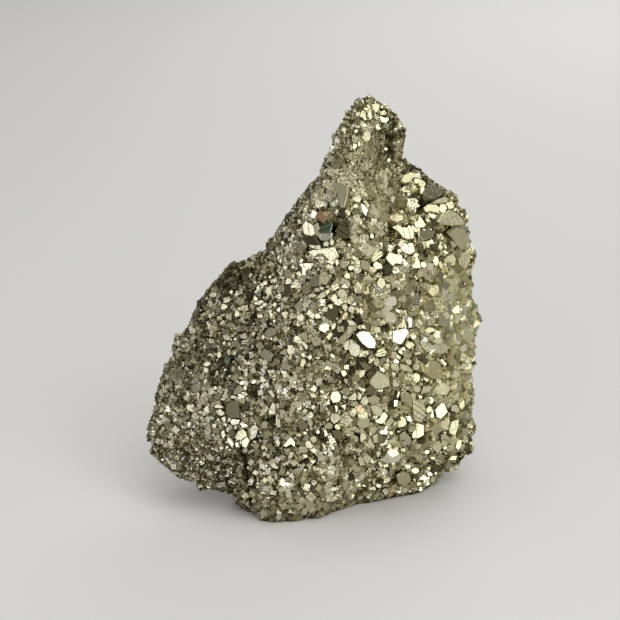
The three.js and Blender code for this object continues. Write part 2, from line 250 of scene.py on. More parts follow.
def mosaic(tree, place, size, tip):
    """The leaning direction of each cell, and a number at random for each."""
    cells = add(tree, "ShaderNodeTexVoronoi", {"Vector": place, "Scale": 1 / size}).outputs["Color"]
    lean = add(tree, "ShaderNodeVectorMath", {0: cells, 1: (0.5, 0.5, 0.5)}, operation="SUBTRACT")
    scaled = add(tree, "ShaderNodeVectorMath", {0: lean.outputs[0], "Scale": tip}, operation="SCALE")
    upright = add(tree, "ShaderNodeNewGeometry").outputs["Normal"]
    leant = add(tree, "ShaderNodeVectorMath", {0: scaled.outputs[0], 1: upright})
    normal = add(tree, "ShaderNodeVectorMath", {0: leant.outputs[0]}, operation="NORMALIZE")
    chance = add(tree, "ShaderNodeSeparateColor", {"Color": cells}).outputs["Red"]
    return normal.outputs[0], chance


print("cells of the mosaic to a millimetre:", round(MM / CELL, 1))


# %% [markdown]
# The finish of the crystals multiplies colours in layers, from the tone to the tarnish, with painted shade
# towards each crystal's foot. A polished crystal has a flatter mosaic and fewer clouds. In an even patch
# the painted shade at the feet fades, so the feet are as pale as the tops, and the faces are satin, which
# makes it calm.


# %% Crystal faces
def crystal_finish():
    """Bright faces in the tone that each crystal carries, with painted shade that darkens them towards
    their feet.
    """
    material, tree, shader = metal("pyrite crystal faces")
    number = {
        name: add(tree, "ShaderNodeAttribute", attribute_name=name).outputs["Fac"] for name in CARRIED
    }
    place = add(tree, "ShaderNodeTexCoord").outputs["Object"]
    tip = add(tree, "ShaderNodeMapRange", {"Value": number["polish"], "To Min": 0.6, "To Max": 0.02})
    normal, chance = mosaic(tree, place, CELL, tip.outputs[0])
    clouds = add(tree, "ShaderNodeTexNoise", {"Vector": place, "Scale": 1 / CELL, "Detail": 2.0})
    # Painted shade: the colour darkens towards each crystal's foot, less so in an even patch.
    depth = add(tree, "ShaderNodeMapRange", {"Value": number["root"], "To Min": number["even"]})
    blocky = add(tree, "ShaderNodeMapRange", {"Value": chance, "To Min": number["polish"]})
    cloudy = add(tree, "ShaderNodeMapRange", {
        "Value": clouds.outputs["Fac"], "From Min": 0.36, "From Max": 0.56, "To Min": number["polish"],
    })
    colour = linear("#FFFFFF")
    for factor, stops in (
        (number["tone"], TONES), (number["hue"], TINTS), (depth.outputs[0], FOOT_PAINTED_SHADE),
        (blocky.outputs[0], CELL_SHADES), (cloudy.outputs[0], TARNISH), (number["yellow"], YELLOWS),
    ):
        ramp = add(tree, "ShaderNodeValToRGB", {"Fac": factor})
        set_stops(ramp, stops)
        layered = add(tree, "ShaderNodeMix", {0: 1.0, 6: colour, 7: ramp.outputs["Color"]},
                      data_type="RGBA", blend_type="MULTIPLY")
        colour = layered.outputs[2]
    rough = add(tree, "ShaderNodeMapRange", {"Value": number["tone"], "To Min": 0.36, "To Max": 0.18})
    satin = add(tree, "ShaderNodeMix", {0: number["even"], 2: rough.outputs["Result"], 3: 0.5})
    strength = add(tree, "ShaderNodeMapRange", {"Value": number["polish"], "To Min": 0.9, "To Max": 0.1})
    relief = add(tree, "ShaderNodeBump", {
        "Height": clouds.outputs["Fac"], "Distance": 0.1 * MM, "Strength": strength.outputs[0],
        "Normal": normal,
    })
    tree.links.new(colour, shader.inputs["Base Color"])
    tree.links.new(satin.outputs[0], shader.inputs["Roughness"])
    tree.links.new(relief.outputs["Normal"], shader.inputs["Normal"])
    return material


crust_material = crystal_finish()
print("nodes in the finish of the crystals:", len(crust_material.node_tree.nodes))

# %% [markdown]
# Between the crystals the mass itself shows: dull, granular and dark. The dark is partly the mass's own
# duller finish and partly painted shade in the gaps between the crystals. It takes the same mosaic with
# coarser cells, and patches of a few millimetres that are darker or paler.


# %% The mass under the crystals
def mass_finish():
    """Dull and granular, dark in some patches and paler in others."""
    material, tree, shader = metal("massive pyrite")
    place = add(tree, "ShaderNodeTexCoord").outputs["Object"]
    normal, chance = mosaic(tree, place, MASS_CELL, 0.9)
    patches = add(tree, "ShaderNodeTexNoise", {"Vector": place, "Scale": 1 / MASS_PATCH, "Detail": 3.0})
    mixed = add(tree, "ShaderNodeMix", {2: patches.outputs["Fac"], 3: chance, 0: 0.4})
    ramp = add(tree, "ShaderNodeValToRGB", {"Fac": mixed.outputs[0]})
    # Dark colours: partly the mass's own duller finish, partly painted shade in the gaps between crystals.
    set_stops(ramp, [(0.25, "#2E2918"), (0.5, "#5A5338"), (0.7, "#857E5E")])
    tree.links.new(ramp.outputs["Color"], shader.inputs["Base Color"])
    shader.inputs["Roughness"].default_value = 0.5
    tree.links.new(normal, shader.inputs["Normal"])
    return material


mass_material = mass_finish()
specimen.data.materials.clear()
specimen.data.materials.append(mass_material)
print("nodes in the finish of the mass:", len(mass_material.node_tree.nodes))

# %% [markdown]
# The crystals of the crust are made from a few patterns, each cut from a block by planes, as a crystal's
# faces are. The cube has six faces. The other common form has twelve, each five-sided, and many
# crystals show both. No real crystal is perfect, so the planes stand at uneven distances. The lowest
# part, which would be buried, is cut away to keep the patterns light.


# %% The faces of pyrite's forms
rng = np.random.default_rng(5)
STRAIGHT_UP = Vector((0, 0, 1))
CUBE_FACES = [Vector(n) for n in ((1, 0, 0), (-1, 0, 0), (0, 1, 0), (0, -1, 0), (0, 0, 1), (0, 0, -1))]
FIVE_SIDED_FACES = [
    Vector(n).normalized()
    for one in (1, -1) for two in (2, -2)
    for n in ((one, two, 0), (0, one, two), (two, 0, one))
]
CORNER_FACES = [Vector((x, y, z)).normalized() for x in (1, -1) for y in (1, -1) for z in (1, -1)]
BURIED = -0.3  # height below which a pattern is cut away
SUNK = 0.13  # how far it is then let into the ground


def uneven(directions, distance, spread):
    """Planes that face these ways, at about this distance from the middle."""
    return [(d, distance * (1 + spread * float(rng.uniform(-1, 1)))) for d in directions]


def cut_by_planes(planes, up):
    """A closed block, cut by (direction, distance) planes, then turned so that 'up' looks along +Z."""
    bm = bmesh.new()
    bmesh.ops.create_cube(bm, size=2.4)
    turn = up.rotation_difference(STRAIGHT_UP).to_matrix()
    cuts = [(turn @ direction, distance) for direction, distance in planes]
    cuts.append((-STRAIGHT_UP, -BURIED))
    for direction, distance in cuts:
        cut = bmesh.ops.bisect_plane(
            bm, geom=bm.verts[:] + bm.edges[:] + bm.faces[:], dist=1e-5,
            plane_co=direction * distance, plane_no=direction, clear_outer=True,
        )
        rim = [item for item in cut["geom_cut"] if isinstance(item, bmesh.types.BMEdge)]
        if rim:
            bmesh.ops.contextual_create(bm, geom=rim)
    bmesh.ops.remove_doubles(bm, verts=bm.verts, dist=0.02)
    bmesh.ops.dissolve_limit(bm, angle_limit=math.radians(1), verts=bm.verts, edges=bm.edges)
    bmesh.ops.recalc_face_normals(bm, faces=bm.faces)
    return bm


print("faces of the forms:", len(CUBE_FACES), len(FIVE_SIDED_FACES), len(CORNER_FACES))


# %% [markdown]
# Each pattern is an object about 1 across, to be scaled later. Its height is written on its corners as
# the number root, which the finish reads. The patterns are kept in a collection that isn't in the scene.


# %% Crystal patterns
def pattern(collection, name, planes, up=STRAIGHT_UP, breadth=1.0):
    """One crystal pattern as an object, with the number root on its corners."""
    bm = cut_by_planes(planes, up)
    bmesh.ops.scale(bm, vec=(1, breadth, 1), verts=bm.verts)
    bmesh.ops.translate(bm, vec=(0, 0, -SUNK), verts=bm.verts)
    mesh = bpy.data.meshes.new(name)
    bm.to_mesh(mesh)
    bm.free()
    heights = np.array([vertex.co.z for vertex in mesh.vertices])
    root = (heights - heights.min()) / (heights.max() - heights.min())
    mesh.attributes.new("root", "FLOAT", "POINT").data.foreach_set("value", root.astype(np.float32))
    collection.objects.link(bpy.data.objects.new(name, mesh))
    mesh.calc_loop_triangles()
    print(name, len(mesh.polygons), "faces", len(mesh.loop_triangles), "triangles")


full_patterns = bpy.data.collections.new("full crystal patterns")
for number in range(4):
    breadth = float(rng.uniform(0.75, 1.1))
    planes = uneven(FIVE_SIDED_FACES, 0.5, 0.12)
    pattern(full_patterns, f"five_sided_{number}", planes, FIVE_SIDED_FACES[0], breadth)
for number in range(3):
    breadth = float(rng.uniform(0.7, 1.0))
    planes = uneven(CUBE_FACES, 0.46, 0.08) + uneven(CORNER_FACES, 0.66, 0.1)
    pattern(full_patterns, f"cut_cube_{number}", planes, breadth=breadth)
pattern(full_patterns, "cube", uneven(CUBE_FACES, 0.44, 0.05), breadth=0.9)
for number in range(2):
    planes = uneven(CUBE_FACES, 0.5, 0.05) + uneven(FIVE_SIDED_FACES, 0.52, 0.06)
    pattern(full_patterns, f"both_forms_{number}", planes)

# %% [markdown]
# The finest crystals are too small to show all their faces, so theirs are plainer patterns: leaning
# blocks, and every second one has some of its corners cut off.

# %% Plain patterns for the finest crystals
plain_patterns = bpy.data.collections.new("plain crystal patterns")
for number in range(6):
    up = Vector((float(rng.uniform(-0.5, 0.5)), float(rng.uniform(-0.5, 0.5)), 1)).normalized()
    breadth = float(rng.uniform(0.7, 1.0))
    planes = uneven(CUBE_FACES, 0.46, 0.15)
    if number % 2:
        planes += uneven(CORNER_FACES[1::2], 0.55, 0.1)
    pattern(plain_patterns, f"plain_{number}", planes, up, breadth)

# %% [markdown]
# Much of what follows is placed in the picture, so two things are needed: the sight line from the
# camera through a place in the picture, and where it meets the mass. A tree of the mass's faces answers
# that quickly.

# %% Sight lines
tree_of_faces = BVHTree.FromPolygons(
    [vertex.co.copy() for vertex in specimen.data.vertices],
    [tuple(polygon.vertices) for polygon in specimen.data.polygons],
)


def sight_line(across, down):
    """The direction from the camera through a place in the picture, in pixels."""
    spot = AIM + Vector(((across - PICTURE / 2) * PIXEL, 0, 0)) - upwards * (down - PICTURE / 2) * PIXEL
    return (spot - camera.location).normalized()


def first_hit(across, down):
    """Where the sight line meets the mass, or None where it passes it by."""
    return tree_of_faces.ray_cast(camera.location, sight_line(across, down))[0]


def picture_place(corners):
    """Where points of the specimen lie in the picture, in pixels across and down."""
    from_aim = corners - np.array(AIM)
    nearness = DISTANCE / (DISTANCE - from_aim @ np.array(backwards))
    across = PICTURE / 2 + from_aim[:, 0] * nearness / PIXEL
    down = PICTURE / 2 - from_aim @ np.array(upwards) * nearness / PIXEL
    return across, down


middle_hit = first_hit(PICTURE / 2, PICTURE / 2)
print("the middle of the picture meets the mass, in mm, at", [round(value / MM, 1) for value in middle_hit])

# %% [markdown]
# How coarse, how bright and how even the crust is changes over the specimen. Numbers on the corners of
# a copy of the mass say so, and the crust is grown on that copy, which itself isn't shown. Broad
# changes follow the form. Smaller patches were noted where the picture shows them. Where a patch is
# even, its crystals lie flat and are alike. In a flash patch they face a lamp's reflection together.

# %% Patches that were noted in the picture
# Each is its place, half width and half height in pixels, and how much it adds.
PATCHES = {
    "tone": [
        (360, 168, 24, 30, 0.2), (402, 250, 30, 26, 0.06), (374, 112, 15, 12, 0.12),
        (464, 330, 14, 90, 0.08), (318, 250, 22, 12, 0.14), (300, 505, 70, 12, -0.04),
        # The patches that darken the tone at the three pits and along the groove right of the peak are
        # painted shade in those hollows.
        (362, 362, 7, 7, -0.4), (215, 288, 18, 16, -0.1), (270, 420, 6, 6, -0.4), (330, 425, 6, 6, -0.4),
        (182, 398, 5, 5, -0.4), (389, 146, 5, 24, -0.6), (344, 214, 7, 16, -0.3), (434, 192, 12, 8, -0.4),
        (428, 480, 11, 9, 0.4), (245, 278, 24, 20, -0.34), (236, 436, 30, 22, 0.4),
        (185, 430, 44, 50, 0.2), (430, 425, 34, 40, -0.14), (335, 308, 14, 10, -0.12),
        (170, 330, 20, 60, -0.02), (440, 235, 34, 30, -0.1),
    ],
    "even": [
        (240, 276, 26, 18, 0.6), (180, 340, 50, 90, 0.35), (366, 166, 28, 42, 1.3),
        (466, 330, 14, 90, 0.7), (300, 505, 66, 13, 0.7), (376, 212, 18, 18, 0.6),
        (338, 185, 10, 20, 0.6), (392, 150, 12, 26, 0.6),
    ],
    "flash": [
        (402, 252, 22, 16, 0.7), (374, 112, 15, 11, 0.7), (434, 212, 16, 10, 0.5),
        (325, 252, 20, 8, 0.3), (428, 481, 12, 8, 0.6), (245, 436, 16, 12, 0.3),
    ],
    "fine": [
        (366, 166, 30, 40, 1.3), (394, 148, 10, 26, 1.2), (196, 446, 24, 26, 1.0),
        (222, 466, 16, 18, 0.7), (215, 385, 16, 20, 0.4), (238, 276, 20, 12, 0.5),
    ],
    "bare": [(182, 398, 3, 3, 1.0), (270, 420, 3, 3, 0.9), (330, 425, 3, 3, 0.9)],
}


def smooth_step(low, high, value):
    """0 below the low value, 1 above the high one and a soft rise between them."""
    part = np.clip((value - low) / (high - low), 0, 1)
    return part * part * (3 - 2 * part)


def patch_sum(patches, across, down):
    """What the patches add at each place of the picture."""
    total = np.zeros_like(across)
    for x, y, half_width, half_height, amount in patches:
        away = ((across - x) / half_width) ** 2 + ((down - y) / half_height) ** 2
        total += amount * np.exp(-away)
    return total


print("patches:", {name: len(rows) for name, rows in PATCHES.items()})

# %% [markdown]
# The ground is a copy of the mass with short edges, so that the numbers can change smoothly. Big
# crystals would spoil two kinds of place: the outline that the camera sees, where they would stick
# out, and thin edges, which they would pierce. Both are measured with rays.


# %% The ground and its thin and outer places
LONGEST_EDGE = 1.4 * MM


def ground_copy():
    """The mass as one closed mesh with short edges."""
    bm = bmesh.new()
    bm.from_mesh(specimen.data)
    bmesh.ops.remove_doubles(bm, verts=bm.verts, dist=0.001 * MM)
    bmesh.ops.triangulate(bm, faces=bm.faces)
    for _ in range(3):
        long_edges = [edge for edge in bm.edges if edge.calc_length() > LONGEST_EDGE]
        bmesh.ops.subdivide_edges(bm, edges=long_edges, cuts=1)
        bmesh.ops.triangulate(bm, faces=bm.faces)
    mesh = bpy.data.meshes.new("ground")
    bm.to_mesh(mesh)
    bm.free()
    return mesh


def thickness(vertex):
    """How thick the mass is under a corner, in millimetres."""
    inwards = -vertex.normal
    distance = tree_of_faces.ray_cast(vertex.co + inwards * 0.05 * MM, inwards)[3]
    return math.inf if distance is None else distance / MM


def near_outline(across, down, reach):
    """1 where a sight line some pixels away, to any side, passes the specimen by, and otherwise 0."""
    near = np.zeros_like(across)
    for turn in range(8):
        over, under = reach * math.cos(turn * math.tau / 8), reach * math.sin(turn * math.tau / 8)
        for corner, (x, y) in enumerate(zip(across + over, down + under)):
            if not near[corner] and first_hit(x, y) is None:
                near[corner] = 1
    return near


ground = ground_copy()
print("ground corners:", len(ground.vertices))

# %% [markdown]
# The druse is finest at the left, on the peak and at the back, and coarsest on the right of the front.
# The right is also a little yellower, as the picture shows. A mirror flashes when it stands half-way
# between a lamp and the eye, so the directions that flash can be worked out from the lamps.


# %% Flashing directions and broad changes
flashing = [
    ((Vector(LAMPS[name][0]) * MM - HEART).normalized() + backwards).normalized()
    for name in ("key lamp", "side lamp", "top lamp")
]


def yellowness(across):
    """The right of the specimen is yellower than the left."""
    return smooth_step(200, 460, across)


def coarseness(x, y, z, even):
    """1 where the druse is coarsest and 0 where it is finest. Places are in millimetres."""
    coarse = smooth_step(-16, 20, x) * smooth_step(1, 9, z)
    coarse *= 1 - 0.6 * smooth_step(58, 64, z) * (1 - smooth_step(16, 19, x))
    coarse *= (1 - 0.4 * smooth_step(0, 10, y)) * (1 - 0.7 * even)
    return coarse


print("flashing directions:", [[round(value, 2) for value in mirror] for mirror in flashing])

# %% [markdown]
# Every corner of the ground gets its numbers. Each grade of crystal has a share, which says how densely
# it grows. Shift and spread steer the tone, leaning says how far the crystals lean, smooth how polished
# they are at least, and swell how much larger they grow. Facing is the way they look. All corners are
# worked out at once, as arrays, which is far quicker than one by one.


# %% The numbers that steer the crust
def ground_numbers(mesh):
    """The numbers for each corner of the ground, and the way its crystals face."""
    corners, normals = np.empty((2, len(mesh.vertices) * 3))
    mesh.vertices.foreach_get("co", corners)
    mesh.vertices.foreach_get("normal", normals)
    corners, normals = corners.reshape(-1, 3), normals.reshape(-1, 3)
    x, y, z = corners.T / MM
    across, down = picture_place(corners)
    towards_camera = normals @ np.array(backwards)
    seen = smooth_step(-0.1, 0.2, towards_camera)
    patch = {name: patch_sum(rows, across, down) * seen for name, rows in PATCHES.items()}
    even, fine, bare = (np.clip(patch[name], 0, 1) for name in ("even", "fine", "bare"))
    flash = np.clip(patch["flash"], 0, 0.9)

    # The left lobe is a little darker: painted shade for the side that the lamps light less. The faces of
    # the right shoulder have a satin sheen.
    left = 1 - smooth_step(-13, -8, x)
    satin = smooth_step(405, 455, across) * (1 - smooth_step(385, 420, down)) * seen

    # Places that are thin, that are seen edge-on, or that lie near the outline.
    thin = 1 - smooth_step(1.3, 2.6, np.array([thickness(vertex) for vertex in mesh.vertices]))
    limb = 1 - smooth_step(0.12, 0.55, np.abs(towards_camera))
    edge = np.maximum(limb, near_outline(across, down, 12))
    limb = np.maximum(limb, 0.9 * near_outline(across, down, 6))

    # The cut face that the specimen stands on is free of crystals.
    free = smooth_step(0.15, 0.6, z) * (1 - bare)
    coarse = coarseness(x, y, z, even)
    medium = free * (0.12 + 0.88 * smooth_step(0.1, 0.6, coarse)) * (1 - 0.85 * even)
    medium *= (1 - limb) * (1 - fine) * (1 - thin)
    small = free * (1 - 0.6 * even) * (1 - 0.85 * limb) * (1 - fine) * (1 - 0.7 * thin)
    coarse *= 1 - 0.5 * limb
    numbers = {
        "fine_share": free,
        "small_share": small,
        "medium_share": medium,
        "coarse_share": free * smooth_step(0.35, 0.9, coarse) * (1 - edge) * (1 - thin),
        "coarse": coarse,
        "shift": patch["tone"] - 0.12 * left * seen,
        "leaning": (1 - 0.65 * even) * (1 - 0.6 * flash) * (1 - 0.35 * satin),
        "spread": (1.04 - 0.64 * even) * (1 - 0.3 * satin),
        "even": even,
        "yellow": yellowness(across),
        "smooth": 0.9 * satin,
        "swell": 1 + 0.45 * even,
    }

    # Crystals face straight out, and in a flash patch towards the nearest flashing direction.
    mirrors = np.array([tuple(mirror) for mirror in flashing])
    target = mirrors[np.argmax(normals @ mirrors.T, axis=1)]
    facing = normals + (target - normals) * flash[:, None]
    facing /= np.linalg.norm(facing, axis=1)[:, None]
    return numbers, facing


numbers, facing = ground_numbers(ground)
for name, values in numbers.items():
    ground.attributes.new(name, "FLOAT", "POINT").data.foreach_set("value", values.astype(np.float32))
    print(name, "is", round(float(values.mean()), 2), "on average")
facing_data = ground.attributes.new("facing", "FLOAT_VECTOR", "POINT").data
facing_data.foreach_set("vector", facing.ravel().astype(np.float32))

# %% [markdown]
# The largest crystals are set one by one where the picture shows them. What makes one flash is the way
# it looks, so each has a kind: how bright its tone is, its hue, and how many degrees it looks away from
# the nearest flashing direction. Without an angle it stays clear of all of them and remains calm.

# %% The kinds of large crystals
KINDS = {
    "silver": (1.0, 0.955, 0), "flash": (0.7, 0.5, 3), "pale": (0.62, 0.5, 9), "cream": (0.48, 0.5, 6),
    "brass": (0.62, 0.5, 14.5), "khaki": (0.6, 0.5, 17), "olive": (0.5, 0.5, None),
    "dull": (0.45, 0.03, 18), "taupe": (0.55, 0.3, 19), "grey": (0.6, 0.96, None),
    "dark": (0.04, 0.95, None), "red": (0.75, 0.0, 14), "teal": (0.7, 1.0, None),
    # The shade kind is painted shade: a darker tone for calm faces that lie in shade.
    "white": (0.95, 0.035, 1), "ash": (0.85, 0.96, 14), "shade": (0.17, 0.5, None),
}
print("kinds:", ", ".join(KINDS))

# %% [markdown]
# The larger ones are drawn with their own outline, corner by corner, because their shapes catch the eye.
# They are listed as text, one crystal before each semicolon: its kind and its corners in the picture.
# Where a face has growth lines, the kind is followed by their number and their direction in degrees,
# such as 2@50.


# %% Reading the drawn crystals
def read_crystals(text):
    """The kind of each crystal in the text, its ribs, their direction and its corners."""
    found = []
    for row in text.split(";"):
        kind, *corners = row.split()
        ribs, turn = map(int, corners.pop(0).split("@")) if "@" in corners[0] else (0, 0)
        found.append((kind, ribs, turn, [tuple(map(float, corner.split(","))) for corner in corners]))
    print("crystals drawn here:", len(found))
    return found


# %% [markdown]
# In the middle of the front two big faces mirror a lamp and look like silver. Beside them stand dark
# faces with growth lines, and below them lie calm khaki ones.

# %% Crystals in the middle
drawn_rows = read_crystals("""
    silver 356,335 359,332 363,331 369,332 371,335 375,340 376,343 375,348 368,348 362,343;
    dark 1@35 352,338 354,335 361,341 369,349 365,350 358,344;
    silver 393,331 406,328 409,332 402,344 399,344 393,341; brass 409,332 412,332 404,346 402,344;
    ash 350,339 353,341 360,346 360,354 356,357 351,355 349,350; brass 343,345 349,339 349,350 345,350;
    olive 357,324 357,327 350,337 342,343 340,338 350,327; ash 347,320 353,321 357,324 350,327;
    dark 2@50 343,322 347,321 350,327 347,331 342,325;
    dark 325,312 331,309 335,305 339,309 338,315 335,321 330,320 326,318;
    dark 1@50 333,331 335,328 341,335 339,338 334,334;
    dark 354,319 359,315 362,316 361,322 358,324 355,322;
    brass 346,300 350,296 353,299 351,305 347,303; brass 348,308 352,305 355,309 352,313 348,311;
    brass 356,306 359,309 359,313 357,313; brass 342,306 346,303 348,307 346,312 343,309;
    pale 3@-35 331,285 334,283 339,284 339,288 333,291;
    khaki 337,293 340,289 345,290 348,296 345,297 339,297;
    pale 344,276 347,272 350,275 350,279 346,278;
    brass 377,283 380,277 384,279 386,284 382,289 378,286;
    brass 374,327 380,327 381,332 376,334 374,331;
    pale 3@-20 378,350 383,347 387,352 385,356 378,357 375,355;
    pale 3@95 392,328 395,323 397,317 404,317 407,328 400,329; silver 408,317 412,318 412,327 409,328;
    cream 404,343 407,341 412,342 415,345 412,348 409,349 406,346;
    flash 400,349 403,346 406,349 404,351; pale 398,352 400,349 403,352 402,355;
    pale 395,356 397,354 401,357 400,360; silver 393,362 395,359 399,361 399,363 395,363;
    olive 403,354 406,350 411,352 412,356 409,359 405,358;
    brass 405,359 409,359 412,361 410,365 407,364; silver 394,309 396,308 400,311 400,313 397,312;
    dark 3@60 357,358 361,357 364,359 368,355 368,369 357,369;
    shade 346,355 349,352 351,356 346,363 343,363; pale 344,366 346,364 349,365 349,370 344,369;
    flash 341,371 345,370 347,374 344,377 342,375; flash 361,370 366,370 364,376 360,378 359,374;
    dark 1@90 350,369 354,367 354,373 351,374; dark 366,374 371,369 374,372 370,379;
    brass 384,365 388,362 390,365 388,370 385,368; khaki 391,363 398,363 400,370 394,371 391,368;
    khaki 400,364 408,365 413,371 401,371; taupe 413,365 418,363 420,366 419,370 414,370;
    khaki 370,381 378,371 389,378 390,386 383,388 376,389 371,386;
    khaki 374,360 378,358 380,362 377,367 374,364; olive 379,360 384,357 388,359 383,363;
    flash 325,325 329,324 329,330 325,331; flash 320,325 327,323 329,329 325,333 319,330;
    flash 331,324 336,323 335,328 332,330; cream 326,337 331,332 333,334 329,340;
    cream 323,368 328,365 332,366 331,370 325,370; pale 330,356 332,353 335,356 334,359
""")

# %% [markdown]
# The right face has broad crystals whose tops look many ways. Most are bright or pale, and two have a
# dull, warm tarnish.

# %% Crystals on the right face
drawn_rows += read_crystals("""
    flash 435,410 441,403 444,403 448,412 441,419 437,417;
    flash 427,400 430,397 433,397 434,401 432,404 428,402;
    pale 426,410 429,406 432,407 432,410 429,413 427,412;
    brass 433,392 437,385 442,382 450,386 450,390 447,395 442,395 437,394;
    dull 421,362 432,360 438,362 443,370 444,378 437,379 431,377 424,372;
    flash 2@50 439,360 442,359 447,364 445,367;
    khaki 4@35 414,401 418,400 424,400 425,408 425,416 422,422 416,420 414,410;
    silver 405,415 411,410 415,414 415,418 411,422 408,421;
    pale 399,418 402,416 406,419 407,424 403,427 399,428 398,424;
    olive 401,394 405,391 410,393 413,400 412,408 406,404 402,401;
    dull 2@10 400,408 404,404 409,406 411,411 406,414 401,411;
    flash 2@95 413,424 417,423 424,425 424,435 419,438 413,438;
    grey 401,437 406,433 411,438 411,444 404,446 401,443;
    brass 441,427 445,420 449,416 450,420 448,430 443,429;
    pale 449,430 452,421 459,420 458,428 455,436 450,433;
    khaki 452,405 457,405 460,410 458,413 452,411; cream 460,399 464,400 465,406 462,410 459,406;
    khaki 432,446 436,441 440,441 442,448 438,453 434,450;
    flash 430,456 433,454 436,455 436,460 431,459;
    flash 456,445 459,440 462,440 461,446 459,450 456,448; flash 449,460 452,456 457,456 456,460;
    silver 394,400 398,400 397,406 394,407; dark 388,401 393,399 393,407 389,406;
    flash 396,393 398,390 400,393 398,398 396,396;
    pale 412,375 416,373 420,375 420,380 417,383 413,380; pale 423,377 428,375 430,379 427,382 424,380;
    pale 430,380 432,379 433,381 431,384; khaki 413,387 417,385 421,388 420,392 415,392;
    taupe 440,434 446,434 450,438 443,440 437,438;
    taupe 433,347 439,341 447,345 448,351 442,354 435,353
""")

# %% [markdown]
# Lower down the crystals are smaller. Nearly half of them flash, and khaki, olive and brownish ones lie
# between.

# %% Crystals in the lower middle
drawn_rows += read_crystals("""
    flash 330,398 332,392 338,391 342,397 339,402 333,403;
    flash 350,400 351,396 355,392 357,395 356,400; flash 357,396 359,392 362,395 361,399 358,400;
    flash 361,401 363,397 366,396 369,400 367,405 363,404;
    flash 333,407 336,405 338,408 337,412 334,411; pale 341,406 346,404 345,410;
    flash 351,412 353,408 356,409 357,413 353,417 350,415;
    brass 330,417 332,413 338,414 341,417 338,422 334,424 331,421;
    olive 324,425 330,422 333,425 332,429 326,429; shade 332,431 339,430 344,434 342,440 335,439;
    dark 320,432 323,431 325,438 320,440; flash 324,430 326,430 328,435 325,437;
    pale 351,439 353,435 358,437 358,441 354,443; flash 360,438 361,433 366,434 366,438 361,442;
    taupe 358,419 365,417 370,420 368,427 362,429 357,425;
    flash 375,421 380,418 382,413 385,412 388,416 385,421 382,424 377,423;
    khaki 370,406 376,405 382,409 383,414 378,417 373,413; taupe 1@90 366,405 369,405 371,412 368,414;
    khaki 367,445 370,438 373,443 375,446 373,450 370,446;
    khaki 373,436 378,434 382,439 379,443 374,443; flash 365,446 368,440 369,446;
    flash 376,452 379,450 381,454 379,457 377,457;
    flash 361,456 366,453 371,457 370,462 367,464 363,460; khaki 358,458 361,456 366,465 360,466;
    flash 378,463 380,460 383,466 381,468; flash 382,463 386,460 389,463 388,467 384,467;
    flash 411,470 415,467 419,469 419,472 415,474 412,472;
    olive 397,476 404,472 410,475 411,482 404,486 399,484;
    flash 376,485 379,482 382,484 380,488 377,487; shade 365,389 371,385 376,390 374,396 368,394;
    olive 367,398 374,395 380,398 378,403 369,403; taupe 354,387 357,383 360,386 359,390 355,389;
    shade 359,362 365,362 372,368 366,372; brass 343,475 346,472 349,476 347,480 343,479;
    flash 310,450 314,448 318,452 318,455 314,453; pale 315,450 318,452 319,455 316,455;
    cream 322,443 325,445 327,450 324,449; flash 310,461 313,460 316,461 313,464;
    flash 283,446 288,440 291,437 295,442 295,447 291,444 286,447;
    flash 275,441 278,438 280,443 278,447; brass 288,457 291,451 294,453 292,458 289,459;
    khaki 290,463 295,460 298,463 294,467; shade 297,422 303,420 308,424 307,429 300,430;
    taupe 307,419 311,418 313,424 311,428 308,424; flash 268,463 271,461 277,466 278,469 273,468;
    flash 252,473 255,470 259,472 257,476; flash 248,481 251,478 254,480 252,485 248,485;
    dull 252,446 256,442 260,446 256,450
""")

# %% [markdown]
# Where the toe joins the mass, most of the crystals flash. The few shaded faces between them set them
# off.

# %% Crystals where the toe joins the mass
drawn_rows += read_crystals("""
    flash 247,430 250,427 255,425 258,429 256,437 251,440 247,435;
    cream 235,437 238,432 243,429 246,432 247,436 241,440 237,440;
    flash 242,441 247,436 250,440 248,444 246,448 242,446;
    flash 227,437 229,437 234,444 232,447 228,442; flash 235,443 238,442 239,447 236,447;
    pale 221,432 224,430 225,436 223,439; pale 230,421 233,419 240,420 238,424 232,425;
    flash 239,423 246,424 248,426 243,428; flash 216,411 220,409 225,413 222,416 218,415;
    flash 221,418 225,416 226,420 224,423; flash 214,406 218,404 224,407 222,408 215,408;
    flash 216,421 218,418 220,421; flash 212,424 216,424 216,428 213,428;
    shade 226,405 232,401 239,401 240,418 231,418 226,414; dark 241,402 250,402 248,409 242,411;
    brass 260,411 264,408 268,410 266,414 262,416;
    flash 2@88 276,415 278,413 280,416 280,427 277,428 276,423;
    flash 270,408 272,403 275,405 275,409 272,412; flash 268,391 271,390 275,396 273,398;
    flash 260,377 263,376 266,381 263,383 260,381;
    silver 2@-60 261,384 264,383 266,384 262,389 259,388;
    olive 262,434 267,430 273,434 270,439 264,439; khaki 261,424 264,421 268,423 266,428 262,428;
    flash 310,390 314,385 317,388 315,392; shade 227,433 232,430 236,433 233,437 229,436;
    flash 261,447 264,444 266,448 262,450
""")

# %% [markdown]
# The strip below the left ridge has the greatest variety: four faces that are nearly white, a reddish
# and a grey-green one with rare tarnishes, and dark ones beside them.

